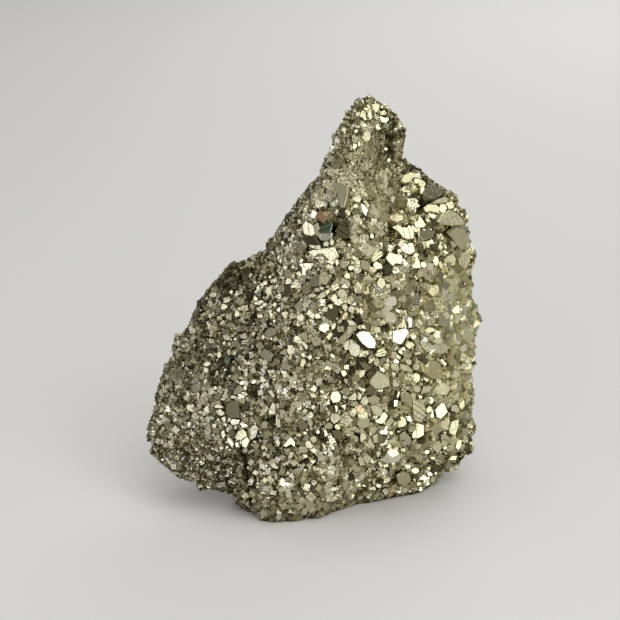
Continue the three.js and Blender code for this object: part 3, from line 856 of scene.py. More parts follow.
# %% Crystals below the left ridge
drawn_rows += read_crystals("""
    white 2@90 302,226 305,222 310,224 313,227 314,234 311,236 304,234;
    brass 313,225 317,223 319,229 316,234 314,232; flash 297,220 300,219 301,222 299,224;
    flash 315,203 318,200 320,204 319,209 316,207; red 316,214 320,210 324,215 326,220 323,223 318,219;
    flash 334,213 337,209 339,210 337,215;
    teal 2@-20 319,229 321,225 325,222 331,221 332,226 330,232 325,233 319,232;
    ash 318,233 325,233 332,233 331,238 326,241 320,240;
    dark 2@30 337,228 340,222 344,222 349,229 350,238 343,239 336,235;
    dark 340,213 343,206 346,208 345,216 341,218; dark 304,238 308,236 314,237 319,243 312,245 305,243;
    white 320,249 326,248 334,247 336,251 338,255 334,260 330,261 326,257 322,253;
    white 308,252 313,250 321,250 322,253 317,254 315,257 312,255;
    flash 309,247 314,244 320,245 321,250 316,249; flash 323,243 327,241 329,243 328,246 324,246;
    flash 330,238 332,238 334,241 333,246 330,245;
    white 299,264 305,263 312,263 314,267 311,270 308,275 302,275 302,268;
    flash 295,273 299,271 302,274 301,278; shade 337,243 343,240 347,244 343,249 339,248;
    silver 361,203 364,205 368,210 366,216 364,214 362,208; pale 2@40 363,201 366,200 370,206 368,208;
    dark 351,212 357,209 360,211 359,214 353,215;
    flash 373,264 376,261 381,264 383,268 378,269 375,270;
    pale 3@-40 371,256 378,250 383,252 382,256 377,260 373,262;
    dark 384,264 390,264 393,269 390,276 384,273; olive 361,260 368,261 371,266 368,271 361,268;
    olive 340,262 346,260 349,265 344,269 340,267; cream 379,242 383,243 382,249 378,248;
    flash 285,284 287,278 290,278 292,282 290,284;
    flash 266,289 269,287 272,285 271,292 268,296 266,293; flash 253,299 255,296 258,299 256,301;
    flash 257,301 262,300 264,302 260,305; flash 259,307 262,305 264,307 261,309;
    flash 275,296 278,294 279,297 276,298; flash 272,305 275,302 277,304 275,307;
    cream 281,299 285,296 288,298 285,302; pale 280,303 282,301 285,307 282,310;
    flash 281,313 285,311 288,313 286,319 283,317; pale 289,316 291,312 296,314 296,318 290,319;
    flash 297,315 300,314 304,316 303,321 300,322 297,319;
    flash 306,314 309,309 312,312 315,315 313,319 310,317; pale 314,313 319,314 321,318 316,319;
    taupe 264,334 268,328 272,328 276,332 273,335 267,336;
    olive 261,353 264,348 270,351 274,355 270,361 264,360; dull 270,366 275,357 279,364 277,367;
    flash 288,345 292,345 295,350 293,354 289,355 287,352;
    flash 301,340 304,342 308,346 307,350 305,348 302,343; silver 307,357 310,354 312,357 310,360;
    flash 315,358 318,355 321,354 319,359; cream 300,366 302,359 305,359 306,362 303,367;
    khaki 281,364 284,361 290,366 288,370 282,369; dull 302,293 303,284 307,282 310,292 305,294;
    khaki 307,296 312,293 317,295 313,298; cream 325,291 329,289 330,292 327,295;
    khaki 317,297 322,292 326,296 321,299; shade 284,285 290,285 292,291 288,296 284,292;
    olive 308,283 314,275 320,275 320,285 312,286; shade 320,273 326,271 331,278 326,285 321,284;
    khaki 294,306 299,301 302,304 301,311 296,310; olive 311,340 316,336 321,338 321,345 314,346;
    brass 321,311 324,306 328,308 327,312; pale 328,305 332,304 333,308 330,309;
    brass 279,354 284,349 287,349 286,355; flash 280,370 286,371 288,376 284,378;
    flash 267,370 274,370 275,374 270,376
""")

# %% [markdown]
# The right shoulder has the largest and smoothest faces, up to 4 mm across. Many of them look towards
# the lamp.

# %% Crystals at the right shoulder
drawn_rows += read_crystals("""
    cream 400,178 404,175 411,172 415,174 413,178 409,182 405,183 402,181;
    pale 418,181 421,179 424,181 426,184 424,187 421,187 418,184;
    flash 420,188 424,187 425,191 423,194 421,194;
    shade 428,185 435,184 443,188 445,191 442,195 436,198 427,199 424,196 426,188;
    khaki 422,202 436,200 444,197 448,199 448,202 440,203 430,204;
    cream 424,207 428,204 437,205 440,208 439,213 430,211 426,212;
    flash 427,212 430,211 439,213 434,219 430,217;
    flash 440,204 445,204 447,208 445,212 442,213 439,210;
    pale 446,203 452,201 454,205 454,208 449,209;
    taupe 444,213 450,210 456,213 463,219 465,224 458,225 447,225 438,222 440,216;
    flash 414,222 418,221 419,216 421,217 423,220 426,225 424,227 417,228 415,226;
    pale 425,219 429,219 430,221 427,222;
    flash 3@75 392,227 397,225 402,227 408,228 414,230 414,238 409,239 404,238 398,231;
    olive 419,231 428,229 436,231 432,238 424,240 419,236;
    flash 2@62 425,243 432,239 436,246 433,248 428,249; pale 439,235 441,233 444,238 442,240;
    pale 438,248 440,243 443,248 440,250; pale 444,245 446,244 447,248 445,249;
    flash 441,251 444,250 449,253 446,254; flash 429,258 433,250 435,250 433,256 430,260;
    flash 432,259 436,255 439,260 437,266 435,265; cream 438,262 441,261 443,266 441,269;
    brass 447,257 453,254 456,258 455,265 450,266; cream 398,245 401,239 406,241 405,245 400,247;
    flash 406,247 409,243 413,243 415,251 409,255 403,252; flash 397,250 402,248 402,252 398,252;
    flash 386,258 389,252 395,254 402,255 403,260 401,264 396,263 393,266 389,262;
    flash 407,258 412,255 415,252 418,258 420,262 421,268 414,268 409,263;
    flash 421,262 425,262 427,266 424,268 421,266; flash 414,269 420,269 420,276 417,280 414,276;
    olive 448,233 456,227 464,229 470,239 469,247 462,250 458,244 453,238;
    taupe 458,253 466,252 471,254 470,263 466,269 460,264
""")

# %% [markdown]
# The peak is fine-grained, so only a few of its crystals are large enough to draw.

# %% Crystals on the peak
drawn_rows += read_crystals("""
    flash 379,117 381,116 385,118 388,117 389,120 386,123 382,122;
    pale 372,105 376,103 380,105 379,109 376,113 373,109;
    pale 368,112 371,109 374,112 373,117 370,120 368,116;
    flash 362,125 365,123 367,125 366,127 363,127; pale 380,112 384,110 387,113 385,115 381,115;
    flash 375,125 378,124 381,129 377,130; brass 362,137 365,131 370,132 371,138 368,142 365,141;
    silver 330,152 331,145 335,146 333,153; brass 326,161 329,156 330,157 327,162;
    taupe 333,184 341,182 348,187 347,196 344,207 340,206 338,197;
    khaki 2@85 379,174 382,169 386,171 388,180 387,189 379,188;
    dull 3@-55 332,168 340,155 343,158 337,168; pale 363,116 366,116 367,120 364,120
""")

# %% [markdown]
# For the smaller ones a place is enough, with a width and a height in pixels. They get an uneven outline
# of five or six corners at random. A gap is a pit where no crystal stands, so only its place is kept
# clear. One of the places, low at the right, lies just past the edge of the mass and makes no crystal.

# %% Smaller crystals and pits
SMALL_CRYSTALS = """
    gap 182,398,6,6; gap 270,420,6,6; gap 330,425,6,5; gap 291,302,6,5; gap 293,328,6,5;
    silver 430,474,6,4; silver 424,478,6,5; pale 433,480,5,5; silver 427,484,6,4; pale 419,484,5,4;
    silver 414,488,5,3; pale 436,473,3,4; flash 421,490,4,3; pale 429,468,4,3; silver 434,486,4,3;
    flash 417,181,5,5; flash 189,407,6,6; pale 199,406,6,6; flash 177,387,5,4; pale 175,420,5,5;
    flash 202,397,4,4; flash 233,397,6,3; pale 223,399,6,3; flash 224,307,7,6; flash 237,314,5,7;
    pale 231,292,4,4; pale 217,300,3,5; pale 213,314,4,4; pale 205,314,4,4; pale 202,315,3,3;
    flash 212,332,4,5; pale 211,341,6,5; flash 219,355,5,6; pale 212,355,4,4; pale 229,352,5,6;
    flash 207,364,7,5; flash 206,370,5,6; flash 215,388,4,4; flash 191,373,2,2; pale 183,364,3,5;
    pale 186,368,3,4; flash 225,370,3,3; pale 217,373,3,5; brass 222,376,3,5; brass 214,323,4,6;
    brass 233,369,4,7; brass 252,306,5,6; taupe 230,325,9,5; olive 225,332,8,6; pale 176,343,4,4;
    pale 183,346,4,4; brass 183,339,4,3; flash 224,343,3,4; pale 229,344,4,4; flash 235,339,3,3;
    brass 235,333,4,4; taupe 195,388,9,8; pale 167,378,3,3; pale 178,394,3,3; pale 162,404,4,3;
    pale 242,383,5,4; pale 241,378,4,3; brass 245,388,4,5; flash 263,337,3,5; pale 303,355,4,4;
    brass 309,365,4,4; flash 260,316,6,4; pale 262,326,4,3; dark 268,323,3,8; dark 300,330,5,4;
    dark 274,343,5,4; brass 443,423,4,6; flash 445,447,4,5; pale 431,448,3,4; flash 427,452,5,5;
    brass 393,374,6,4; pale 404,384,4,4; flash 414,397,4,4; flash 420,397,5,4; flash 396,476,3,7;
    flash 318,432,4,4; pale 357,430,5,6; pale 371,424,3,4; flash 371,433,4,5; brass 388,426,5,5;
    brass 387,437,6,5; flash 387,432,3,3; flash 391,433,4,4; flash 389,446,5,4; pale 393,463,4,4;
    pale 403,450,5,4; flash 407,454,4,2; pale 397,448,4,3; pale 341,463,3,7; pale 334,489,9,4;
    pale 352,496,6,6; pale 370,470,4,7; khaki 374,482,3,7; brass 389,479,4,5; pale 359,485,4,4;
    dark 352,478,7,6; pale 305,456,6,4; flash 264,454,4,4; brass 268,456,4,6; brass 305,411,5,5;
    brass 301,389,7,4; pale 313,407,5,4; pale 305,404,5,3; brass 299,435,6,4; pale 305,433,4,3;
    pale 288,388,5,5; brass 288,473,4,4; brass 346,381,5,6; flash 451,316,4,8; pale 430,330,10,6;
    cream 473,358,6,7; brass 448,374,5,8; brass 457,375,5,5; pale 400,331,3,3; brass 383,322,6,6;
    pale 364,327,6,5; brass 360,327,5,5; pale 351,268,6,5; pale 337,262,3,7; flash 318,258,6,3;
    flash 372,236,4,5; dark 340,226,4,5; flash 293,236,4,4; pale 296,241,4,4; pale 293,232,3,3;
    flash 309,215,4,3; pale 304,215,5,5; pale 301,208,3,4; pale 312,211,4,3; pale 299,213,3,4;
    pale 310,219,5,4; pale 326,204,3,5; pale 332,204,5,3; pale 356,206,6,4; pale 361,222,3,6;
    brass 388,286,5,5; flash 293,267,3,5; pale 282,270,3,3; pale 273,274,3,3; pale 281,277,3,4;
    pale 270,277,3,3; brass 263,272,5,5; pale 266,265,3,3; pale 265,283,5,4; brass 255,282,3,4;
    pale 283,282,3,3; brass 278,283,3,4; pale 258,288,3,5; pale 337,147,3,4; pale 355,146,4,7;
    pale 359,144,3,5; pale 386,149,4,3; pale 366,109,5,3; brass 358,114,5,5; pale 363,112,3,3;
    pale 382,107,3,3; pale 396,129,3,3; pale 356,131,4,4; brass 371,128,4,4; brass 334,177,6,5;
    pale 324,185,6,5; pale 341,174,5,4; pale 389,160,4,4; brass 354,190,4,4
"""
rng = np.random.default_rng(11)


def small_outline(across, down, width, height):
    """The corners, in the picture, of a small crystal with five or six uneven sides."""
    count = int(rng.integers(5, 7))
    start = rng.uniform(0, 1)
    corners = []
    for number in range(count):
        angle = (number + start + 0.45 * rng.uniform(-0.5, 0.5)) / count * math.tau
        reach = rng.uniform(0.95, 1.15) / 2
        corners.append((across + math.cos(angle) * reach * width, down + math.sin(angle) * reach * height))
    return corners


small_rows = []
for text in SMALL_CRYSTALS.split(";"):
    kind, sizes = text.split()
    small_rows.append((kind, 0, 0, small_outline(*map(float, sizes.split(",")))))
print("small crystals and pits:", len(small_rows))

# %% [markdown]
# A large crystal stands on the mass where its middle is seen. Its face could simply lie on the ground
# there, but then it would look a chance way. Instead the face is turned by its kind, and its outline is
# carried along the sight lines onto that plane, so that it keeps its shape in the picture.

# %% The way a large crystal faces
AROUND = 2.5 * MM  # how far around a place the ground counts for its direction
CALM_ANGLE = math.radians(22)  # a face turned this far from every flashing direction stays calm
MOST_SLANT = 0.58  # least cosine between a face's direction and the line of sight


def ground_direction(place):
    """The ground's usual direction around a place."""
    total = Vector((0, 0, 0))
    for _, normal, polygon, _ in tree_of_faces.find_nearest_range(place, AROUND):
        total += normal * specimen.data.polygons[polygon].area
    return total.normalized()


def face_direction(ground_normal, offset):
    """Which way a face looks: an angle away from the nearest flash, or clear of all flashes."""
    nearest = max(flashing, key=lambda mirror: mirror.dot(ground_normal))
    apart = nearest.angle(ground_normal)
    wanted = CALM_ANGLE if offset is None else math.radians(offset)
    if offset is None and apart >= wanted:
        direction = ground_normal
    else:
        direction = Matrix.Rotation(wanted, 3, nearest.cross(ground_normal).normalized()) @ nearest
    slant = direction.dot(backwards)
    if slant < MOST_SLANT:
        direction = (direction + backwards * (MOST_SLANT - slant)).normalized()
    return direction


def on_face(across, down, middle, basis):
    """Where a place in the picture falls on a face with this middle and these axes."""
    line = sight_line(across, down)
    reach = (middle - camera.location).dot(basis.col[2]) / line.dot(basis.col[2])
    return ((camera.location + line * reach - middle) @ basis).to_2d()


print("in the middle the ground looks along", [round(value, 2) for value in ground_direction(middle_hit)])


# %% [markdown]
# The crystal itself is a closed block with a narrow chamfer, widening a little into the ground. Growth
# lines are common on pyrite: they are cut as narrow grooves across the top, which leaves ribs between.


# %% The block of a large crystal
NECK = 0.5 * MM  # depth of the part that may be seen from the side
FOOT = 1.4 * MM  # depth of the buried part
CHAMFER = 0.1 * MM
GROOVE = 0.07 * MM  # half the width of a groove between two ribs
GROOVE_DEPTH = 0.2 * MM


def close_sides(bm, upper, lower):
    """Faces between two rings of corners."""
    for near in range(len(upper)):
        far = (near + 1) % len(upper)
        bm.faces.new((upper[near], lower[near], lower[far], upper[far]))


def crystal_block(outline, down, foot):
    """A block whose top has the given outline, at height 0. It goes into the ground straight 'down'."""
    middle = sum(outline, Vector((0, 0))) / len(outline)
    bm = bmesh.new()
    rings = []
    for depth, grow in ((0, 0.95), (CHAMFER, 1.03), (NECK, 1.06), (foot, 1.08)):
        ring = [middle + (spot - middle) * grow for spot in outline]
        rings.append([bm.verts.new(Vector((spot.x, spot.y, 0)) + down * depth) for spot in ring])
    bm.faces.new(rings[0])
    bm.faces.new(rings[-1][::-1])
    for upper, lower in zip(rings, rings[1:]):
        close_sides(bm, upper, lower)
    bmesh.ops.recalc_face_normals(bm, faces=bm.faces)
    return bm


def cut_ribs(bm, ribs, lengthwise):
    """Cuts narrow grooves along the given direction across the top, which leaves ribs between them."""
    across = Vector((-lengthwise.y, lengthwise.x, 0)).normalized()
    reaches = [vertex.co.dot(across) for vertex in bm.verts]
    low, high = min(reaches), max(reaches)
    for number in range(ribs):
        centre = low + (high - low) * (number + 1) / (ribs + 1)
        for offset in (-GROOVE, GROOVE, 0):
            cut = bmesh.ops.bisect_plane(
                bm, geom=bm.verts[:] + bm.edges[:] + bm.faces[:], dist=1e-7,
                plane_co=across * (centre + offset), plane_no=across,
            )
        for item in cut["geom_cut"]:
            if isinstance(item, bmesh.types.BMVert) and item.co.z > -0.01 * MM:
                item.co.z -= GROOVE_DEPTH
    bmesh.ops.recalc_face_normals(bm, faces=bm.faces)


# %% [markdown]
# Setting a crystal takes four steps. A ray finds its place, and more rays find the ground behind its
# corners. A fan of faces on that ground is its footprint, which the druse will keep clear. The face is
# lifted until it clears the ground under it, within a limit. Then its block is added to one mesh that
# holds all of them, with the numbers that the finish reads.

# %% Setting a large crystal
MOST_LIFT = 1.0 * MM  # how far a leaning crystal may be lifted to clear the ground around it
PROUD = 0.3 * MM  # how far the face of the narrowest crystal stands off the ground
RISE = 0.09  # how much prouder a wider face stands, as a part of its width
FALLEN_OFF = 6 * MM  # a corner whose ground is farther than this has missed the edge in front
CALM_OFFSET = 12  # degrees away from a flash, past which a face is satin
TONE_SPREAD = 0.05

whole = bmesh.new()
layers = {name: whole.verts.layers.float.new(name) for name in CARRIED}
prints = bmesh.new()


def set_crystal(kind, ribs, turn, corners):
    """Adds one crystal and its footprint. Returns whether there is ground for it."""
    across = sum(x for x, _ in corners) / len(corners)
    down = sum(y for _, y in corners) / len(corners)
    place = first_hit(across, down)
    if place is None:
        return False
    under = [first_hit(x, y) for x, y in corners]
    under = [place if spot is None or (spot - place).length > FALLEN_OFF else spot for spot in under]
    for first, second in zip(under, under[1:] + under[:1]):
        prints.faces.new([prints.verts.new(spot) for spot in (place, first, second)])
    if kind == "gap":
        return True

    tone, hue, offset = KINDS[kind]
    ground_normal = ground_direction(place)
    direction = face_direction(ground_normal, offset)
    lift = min(MOST_LIFT, max((spot - place).dot(direction) for spot in (place, *under)))
    width = max(x for x, _ in corners) - min(x for x, _ in corners)
    middle = place + direction * (PROUD + RISE * width * PIXEL + lift)
    right = (Vector((1, 0, 0)) - direction * direction.x).normalized()
    basis = Matrix((right, direction.cross(right), direction)).transposed()
    outline = [on_face(x, y, middle, basis) for x, y in corners]
    block = crystal_block(outline, -ground_normal @ basis, FOOT + 2 * lift)
    if ribs:
        step = (across + math.cos(math.radians(turn)), down + math.sin(math.radians(turn)))
        cut_ribs(block, ribs, on_face(*step, middle, basis) - on_face(across, down, middle, basis))

    values = {
        "tone": tone + TONE_SPREAD * rng.uniform(-1, 1),
        "hue": hue,
        "yellow": float(yellowness(np.array(across))),
        "polish": 0.8 if offset is None or offset > CALM_OFFSET else 0.7,
        "even": 0.6 if offset is not None and offset > CALM_OFFSET else 0.0,
    }
    made = {}
    for vertex in block.verts:
        made[vertex] = whole.verts.new(middle + basis @ vertex.co)
        for name, value in values.items():
            made[vertex][layers[name]] = value
        # Root falls from 1 at the top to 0.1 down the neck, and the finish paints shade where it is low.
        made[vertex][layers["root"]] = min(1.0, max(0.0, 1 + 0.9 * vertex.co.z / NECK))
    for face in block.faces:
        whole.faces.new([made[vertex] for vertex in face.verts])
    block.free()
    return True


rows = drawn_rows + small_rows
print("large crystals and pits that found ground:", sum(set_crystal(*row) for row in rows), "of", len(rows))

# %% [markdown]
# The dark crevice beside the toe is a shadow more than a form. It is listed as places down its middle,
# each with its width. A row of dark blocks follows the ground along them, only a trace above the mass,
# and the druse keeps clear of it too.

# %% The crevice
CREVICE = [  # place in the picture and width, in pixels
    (240, 446, 2), (241, 450, 3), (243, 454, 4), (244, 458, 3), (246, 462, 3), (246, 466, 4), (247, 470, 2),
    (247, 474, 3), (248, 478, 2), (247, 482, 3), (249, 486, 3), (249, 490, 2), (250, 495, 3), (250, 500, 3),
    (251, 505, 2),
]
SHADOW_TOP = 0.03  # millimetres above the mass
SHADOW_DEPTH = 0.8

ends = []
for x, y, width in CREVICE:
    for side in (-0.5, 0.5):
        place = first_hit(x + side * width, y)
        ends.append((place, ground_direction(place)))
for first in range(0, len(ends) - 2, 2):
    four = [ends[first + step] for step in (0, 1, 3, 2)]
    prints.faces.new([prints.verts.new(place) for place, _ in four])
    top = [whole.verts.new(place + normal * SHADOW_TOP * MM) for place, normal in four]
    low = [whole.verts.new(place - normal * SHADOW_DEPTH * MM) for place, normal in four]
    for vertex in (*top, *low):
        vertex[layers["hue"]] = 0.5
        vertex[layers["root"]] = 0.2
    whole.faces.new(top)
    whole.faces.new(low[::-1])
    close_sides(whole, top, low)
bmesh.ops.recalc_face_normals(whole, faces=whole.faces)
print("blocks in the crevice:", len(CREVICE) - 1)

# %% [markdown]
# All large crystals become one piece, which rides on the specimen's only body. The footprints become an
# object too, but only to steer the druse, and they are removed at the end.


# %% The large crystals as one piece
def mesh_object(name, bm):
    """An object in the scene from a finished bmesh."""
    mesh = bpy.data.meshes.new(name)
    bm.to_mesh(mesh)
    bm.free()
    return in_scene(name, mesh)


footprints = mesh_object("footprints", prints)
large = mesh_object("large_crystals", whole)
large.data.materials.append(crust_material)
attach(large, "root")
large.data.calc_loop_triangles()
print("large crystals:", len(large.data.loop_triangles), "triangles")

# %% [markdown]
# Growing the crust is a scatter, which Geometry Nodes do well. The tree is built once, with its sizes as
# inputs, and used for each grade of crystal. First come the points: spread over the ground no closer
# than a spacing. Points outside a block of space are left out, so that one grade can be grown in several
# pieces, and so are points on the footprints of the large crystals.

# %% Points of the crust
DENSEST = 1.3e7  # points on a square metre, before the spacing thins them out
INPUTS = {
    "Patterns": "Collection", "Last pattern": "Int", "Finish": "Material", "Footprints": "Object",
    "Clearance": "Float", "Share": "String", "Spacing": "Float", "Fine size": "Float",
    "Coarse size": "Float", "Lean": "Float", "Polish": "Float", "Brightness": "Float", "Seed": "Int",
    "Low corner": "Vector", "High corner": "Vector",
}


def crust_points(tree, given, place):
    """Points for one grade, in the wanted block of space and off the footprints."""
    share = add(tree, "GeometryNodeInputNamedAttribute", {"Name": given["Share"]}, data_type="FLOAT")
    spots = add(tree, "GeometryNodeDistributePointsOnFaces", {
        "Mesh": given["Geometry"], "Distance Min": given["Spacing"], "Density Max": DENSEST,
        "Density Factor": share.outputs["Attribute"], "Seed": given["Seed"],
    }, distribute_method="POISSON")
    from_low = add(tree, "ShaderNodeVectorMath", {0: place, 1: given["Low corner"]}, operation="SUBTRACT")
    from_high = add(tree, "ShaderNodeVectorMath", {0: given["High corner"], 1: place}, operation="SUBTRACT")
    nearest_side = add(tree, "ShaderNodeVectorMath", {0: from_low.outputs[0], 1: from_high.outputs[0]},
                       operation="MINIMUM")
    sides = add(tree, "ShaderNodeSeparateXYZ", {"Vector": nearest_side.outputs[0]}).outputs
    smaller = add(tree, "ShaderNodeMath", {0: sides["X"], 1: sides["Y"]}, operation="MINIMUM")
    smallest = add(tree, "ShaderNodeMath", {0: smaller.outputs[0], 1: sides["Z"]}, operation="MINIMUM")
    covered = add(tree, "GeometryNodeObjectInfo", {"Object": given["Footprints"]})
    near = add(tree, "GeometryNodeProximity", {0: covered.outputs["Geometry"], "Sample Position": place},
               target_element="FACES")
    outside, on_print = (
        add(tree, "FunctionNodeCompare", {"A": measure, "B": limit}, data_type="FLOAT",
            operation="LESS_THAN").outputs[0]
        for measure, limit in ((smallest.outputs[0], 0.0), (near.outputs["Distance"], given["Clearance"]))
    )
    unwanted = add(tree, "FunctionNodeBooleanMath", {0: outside, 1: on_print}, operation="OR")
    kept = add(tree, "GeometryNodeDeleteGeometry", {
        "Geometry": spots.outputs["Points"], "Selection": unwanted.outputs[0],
    }, domain="POINT")
    return kept.outputs["Geometry"]


print("inputs of the tree:", ", ".join(INPUTS))


# %% [markdown]
# On each point stands one of the patterns, chosen at random. It is turned to face the way that the
# ground says, spun at random and leant a little. Its size follows how coarse the druse is there.


# %% Crystals on the points
def standing_crystals(tree, given, number, points):
    """The crystals as instances, each with its size, its spin and its lean."""
    patterns = add(tree, "GeometryNodeCollectionInfo", {
        "Collection": given["Patterns"], "Separate Children": True, "Reset Children": True,
    })
    choice = add(tree, "FunctionNodeRandomValue", {4: 0, 5: given["Last pattern"], "Seed": given["Seed"]},
                 data_type="INT")
    usual = add(tree, "ShaderNodeMapRange", {
        "Value": number["coarse"], "To Min": given["Fine size"], "To Max": given["Coarse size"],
    })
    varied = add(tree, "FunctionNodeRandomValue", {2: 0.6, 3: 1.4, "Seed": given["Seed"]})
    size = usual.outputs["Result"]
    for factor in (varied.outputs[1], number["swell"]):
        size = add(tree, "ShaderNodeMath", {0: size, 1: factor}, operation="MULTIPLY").outputs[0]
    facing = add(tree, "GeometryNodeInputNamedAttribute", {"Name": "facing"}, data_type="FLOAT_VECTOR")
    turn = add(tree, "FunctionNodeAlignRotationToVector", {"Vector": facing.outputs["Attribute"]}, axis="Z")
    grown = add(tree, "GeometryNodeInstanceOnPoints", {
        "Points": points, "Instance": patterns.outputs["Instances"], "Pick Instance": True,
        "Instance Index": choice.outputs[2], "Rotation": turn.outputs["Rotation"], "Scale": size,
    })
    spin = add(tree, "FunctionNodeRandomValue", {0: (0, 0, 0), 1: (0, 0, math.tau), "Seed": given["Seed"]},
               data_type="FLOAT_VECTOR")
    way_seed = add(tree, "ShaderNodeMath", {0: given["Seed"], 1: 17.0})
    way = add(tree, "FunctionNodeRandomValue", {0: (-1, -1, 0), 1: (1, 1, 0), "Seed": way_seed.outputs[0]},
              data_type="FLOAT_VECTOR")
    lean = add(tree, "ShaderNodeMath", {0: given["Lean"], 1: number["leaning"]}, operation="MULTIPLY")
    tilt = add(tree, "ShaderNodeVectorMath", {0: way.outputs[0], "Scale": lean.outputs[0]},
               operation="SCALE")
    crystals = grown.outputs["Instances"]
    for rotation in (spin.outputs[0], tilt.outputs[0]):
        crystals = add(tree, "GeometryNodeRotateInstances", {
            "Instances": crystals, "Rotation": rotation, "Local Space": True,
        }).outputs["Instances"]
    return crystals


# %% [markdown]
# Last, each crystal gets its tone, hue and polish. The tone is at random, less so where the crust is
# even, with drifts of a few millimetres and the patches added. The result is made real and gets its
# finish, because instances would be lost in the export.


# %% The tree that grows a crust
DRIFT = 5 * MM  # width of the drifts of tone


def tone_of_crystals(tree, given, number, place):
    """The tone of each crystal, from 0 to 1."""
    seed = add(tree, "ShaderNodeMath", {0: given["Seed"], 1: 41.0})
    chance = add(tree, "FunctionNodeRandomValue", {2: -0.5, 3: 0.5, "Seed": seed.outputs[0]})
    scattered = add(tree, "ShaderNodeMath", {
        0: chance.outputs[1], 1: number["spread"], 2: given["Brightness"],
    }, operation="MULTIPLY_ADD")
    drift = add(tree, "ShaderNodeTexNoise", {"Vector": place, "Scale": 1 / DRIFT, "Detail": 1.0})
    drifted = add(tree, "ShaderNodeMapRange", {
        "Value": drift.outputs["Fac"], "From Min": 0.3, "From Max": 0.7, "To Min": -0.1, "To Max": 0.1,
    })
    moved = add(tree, "ShaderNodeMath", {0: drifted.outputs["Result"], 1: number["shift"]})
    tone = add(tree, "ShaderNodeMath", {0: scattered.outputs[0], 1: moved.outputs[0]}, use_clamp=True)
    return tone.outputs[0]


def crust_tree():
    """The whole tree, with an input for each size and seed."""
    tree = bpy.data.node_groups.new("crust of crystals", "GeometryNodeTree")
    tree.interface.new_socket("Geometry", in_out="INPUT", socket_type="NodeSocketGeometry")
    for name, kind in INPUTS.items():
        tree.interface.new_socket(name, in_out="INPUT", socket_type="NodeSocket" + kind)
    tree.interface.new_socket("Geometry", in_out="OUTPUT", socket_type="NodeSocketGeometry")
    given = add(tree, "NodeGroupInput").outputs
    place = add(tree, "GeometryNodeInputPosition").outputs["Position"]
    number = {
        name: add(tree, "GeometryNodeInputNamedAttribute", {"Name": name}, data_type="FLOAT").outputs[0]
        for name in ("coarse", "swell", "leaning", "spread", "shift", "smooth")
    }
    crystals = standing_crystals(tree, given, number, crust_points(tree, given, place))
    hue_seed = add(tree, "ShaderNodeMath", {0: given["Seed"], 1: 73.0})
    hue = add(tree, "FunctionNodeRandomValue", {"Seed": hue_seed.outputs[0]})
    polish = add(tree, "ShaderNodeMath", {0: number["smooth"], 1: given["Polish"]}, operation="MAXIMUM")
    for name, value in (
        ("tone", tone_of_crystals(tree, given, number, place)),
        ("hue", hue.outputs[1]),
        ("polish", polish.outputs[0]),
    ):
        crystals = add(tree, "GeometryNodeStoreNamedAttribute", {
            "Geometry": crystals, "Name": name, "Value": value,
        }, domain="INSTANCE", data_type="FLOAT").outputs["Geometry"]
    joined = add(tree, "GeometryNodeRealizeInstances", {"Geometry": crystals})
    finished = add(tree, "GeometryNodeSetMaterial", {
        "Geometry": joined.outputs["Geometry"], "Material": given["Finish"],
    })
    add(tree, "NodeGroupOutput", {"Geometry": finished.outputs["Geometry"]})
    return tree


grow_crust = crust_tree()
print("nodes in the tree:", len(grow_crust.nodes))

# %% [markdown]
# To grow a piece, the ground is copied and given the tree as a modifier. The inputs are set by the
# identifiers of their sockets before the object is first evaluated. The result is taken out as a plain
# mesh, and the numbers that only steered it are removed.


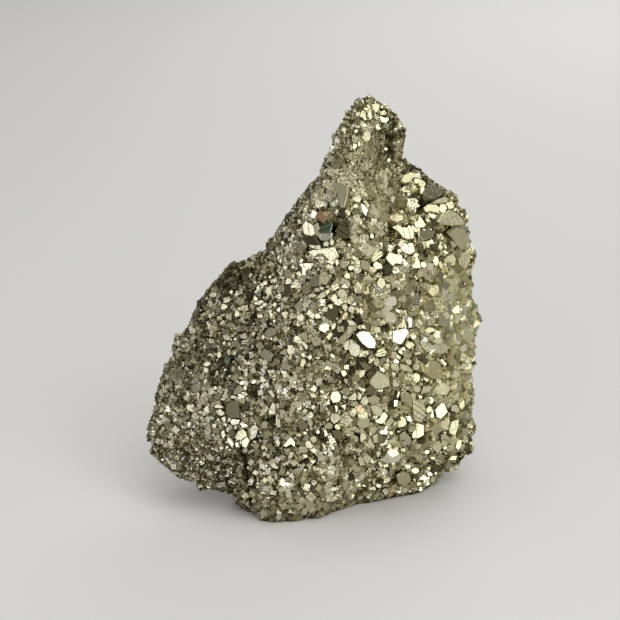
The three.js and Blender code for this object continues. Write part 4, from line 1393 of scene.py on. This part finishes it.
# %% A piece grown by the tree
def grow(name, values):
    """Runs the tree on the ground with these inputs and keeps the result as a plain mesh."""
    seedbed = in_scene("seedbed", ground.copy())
    modifier = seedbed.modifiers.new("crust", "NODES")
    modifier.node_group = grow_crust
    sockets = {
        item.name: item.identifier for item in grow_crust.interface.items_tree if item.in_out == "INPUT"
    }
    last_pattern = len(values["Patterns"].objects) - 1
    common = {"Finish": crust_material, "Footprints": footprints, "Last pattern": last_pattern}
    for key, value in {**common, **values}.items():
        modifier[sockets[key]] = value
    depsgraph = bpy.context.evaluated_depsgraph_get()
    mesh = bpy.data.meshes.new_from_object(seedbed.evaluated_get(depsgraph), depsgraph=depsgraph)
    bpy.data.objects.remove(seedbed)
    steering = {*numbers, "facing"} - {*CARRIED}
    for attribute in [item.name for item in mesh.attributes if item.name in steering]:
        mesh.attributes.remove(mesh.attributes[attribute])
    piece = in_scene(name, mesh)
    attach(piece, "root")
    mesh.calc_loop_triangles()
    print(name, len(mesh.loop_triangles), "triangles")


# %% [markdown]
# Four grades of crystal grow through each other, as on the real druse. The finest has so many crystals
# that it is grown in four blocks of space, from the foot to the peak. They meet without a seam, because
# the points are the same in all of them.

# %% The druse
def grade(patterns, share, spacing, sizes, clearance, lean, seed, polish, brightness=0.58):
    """The tree's inputs for one grade. Spacing, sizes and clearance are in millimetres."""
    return {
        "Patterns": patterns, "Share": share, "Spacing": spacing * MM, "Fine size": sizes[0] * MM,
        "Coarse size": sizes[1] * MM, "Clearance": clearance * MM, "Lean": lean, "Seed": seed,
        "Polish": polish, "Brightness": brightness,
    }


coarse_grade = grade(full_patterns, "coarse_share", 1.9, (1.3, 2.5), 1.1, lean=0.34, seed=3, polish=0.55)
medium_grade = grade(full_patterns, "medium_share", 1.05, (1.1, 1.6), 0.4, lean=0.42, seed=4, polish=0.5)
small_grade = grade(plain_patterns, "small_share", 0.8, (1.0, 1.2), 0.22, lean=0.5, seed=6, polish=0.42)
fine_grade = grade(plain_patterns, "fine_share", 0.4, (0.46, 0.6), 0.03, lean=0.6, seed=5, polish=0.2,
                   brightness=0.49)
PAST = 100  # millimetres from the middle, past the specimen to every side
# Each piece's inputs, and its lowest and highest point in millimetres.
for name, values, low, high in (
    ("druse_coarse", coarse_grade, -PAST, PAST),
    ("druse_medium", medium_grade, -PAST, PAST),
    ("druse_small", small_grade, -PAST, PAST),
    ("druse_fine_1", fine_grade, -PAST, 14),
    ("druse_fine_2", fine_grade, 14, 27),
    ("druse_fine_3", fine_grade, 27, 40),
    ("druse_fine_4", fine_grade, 40, PAST),
):
    block = {
        "Low corner": (-PAST * MM, -PAST * MM, low * MM), "High corner": (PAST * MM, PAST * MM, high * MM),
    }
    grow(name, {**values, **block})
bpy.data.objects.remove(footprints)
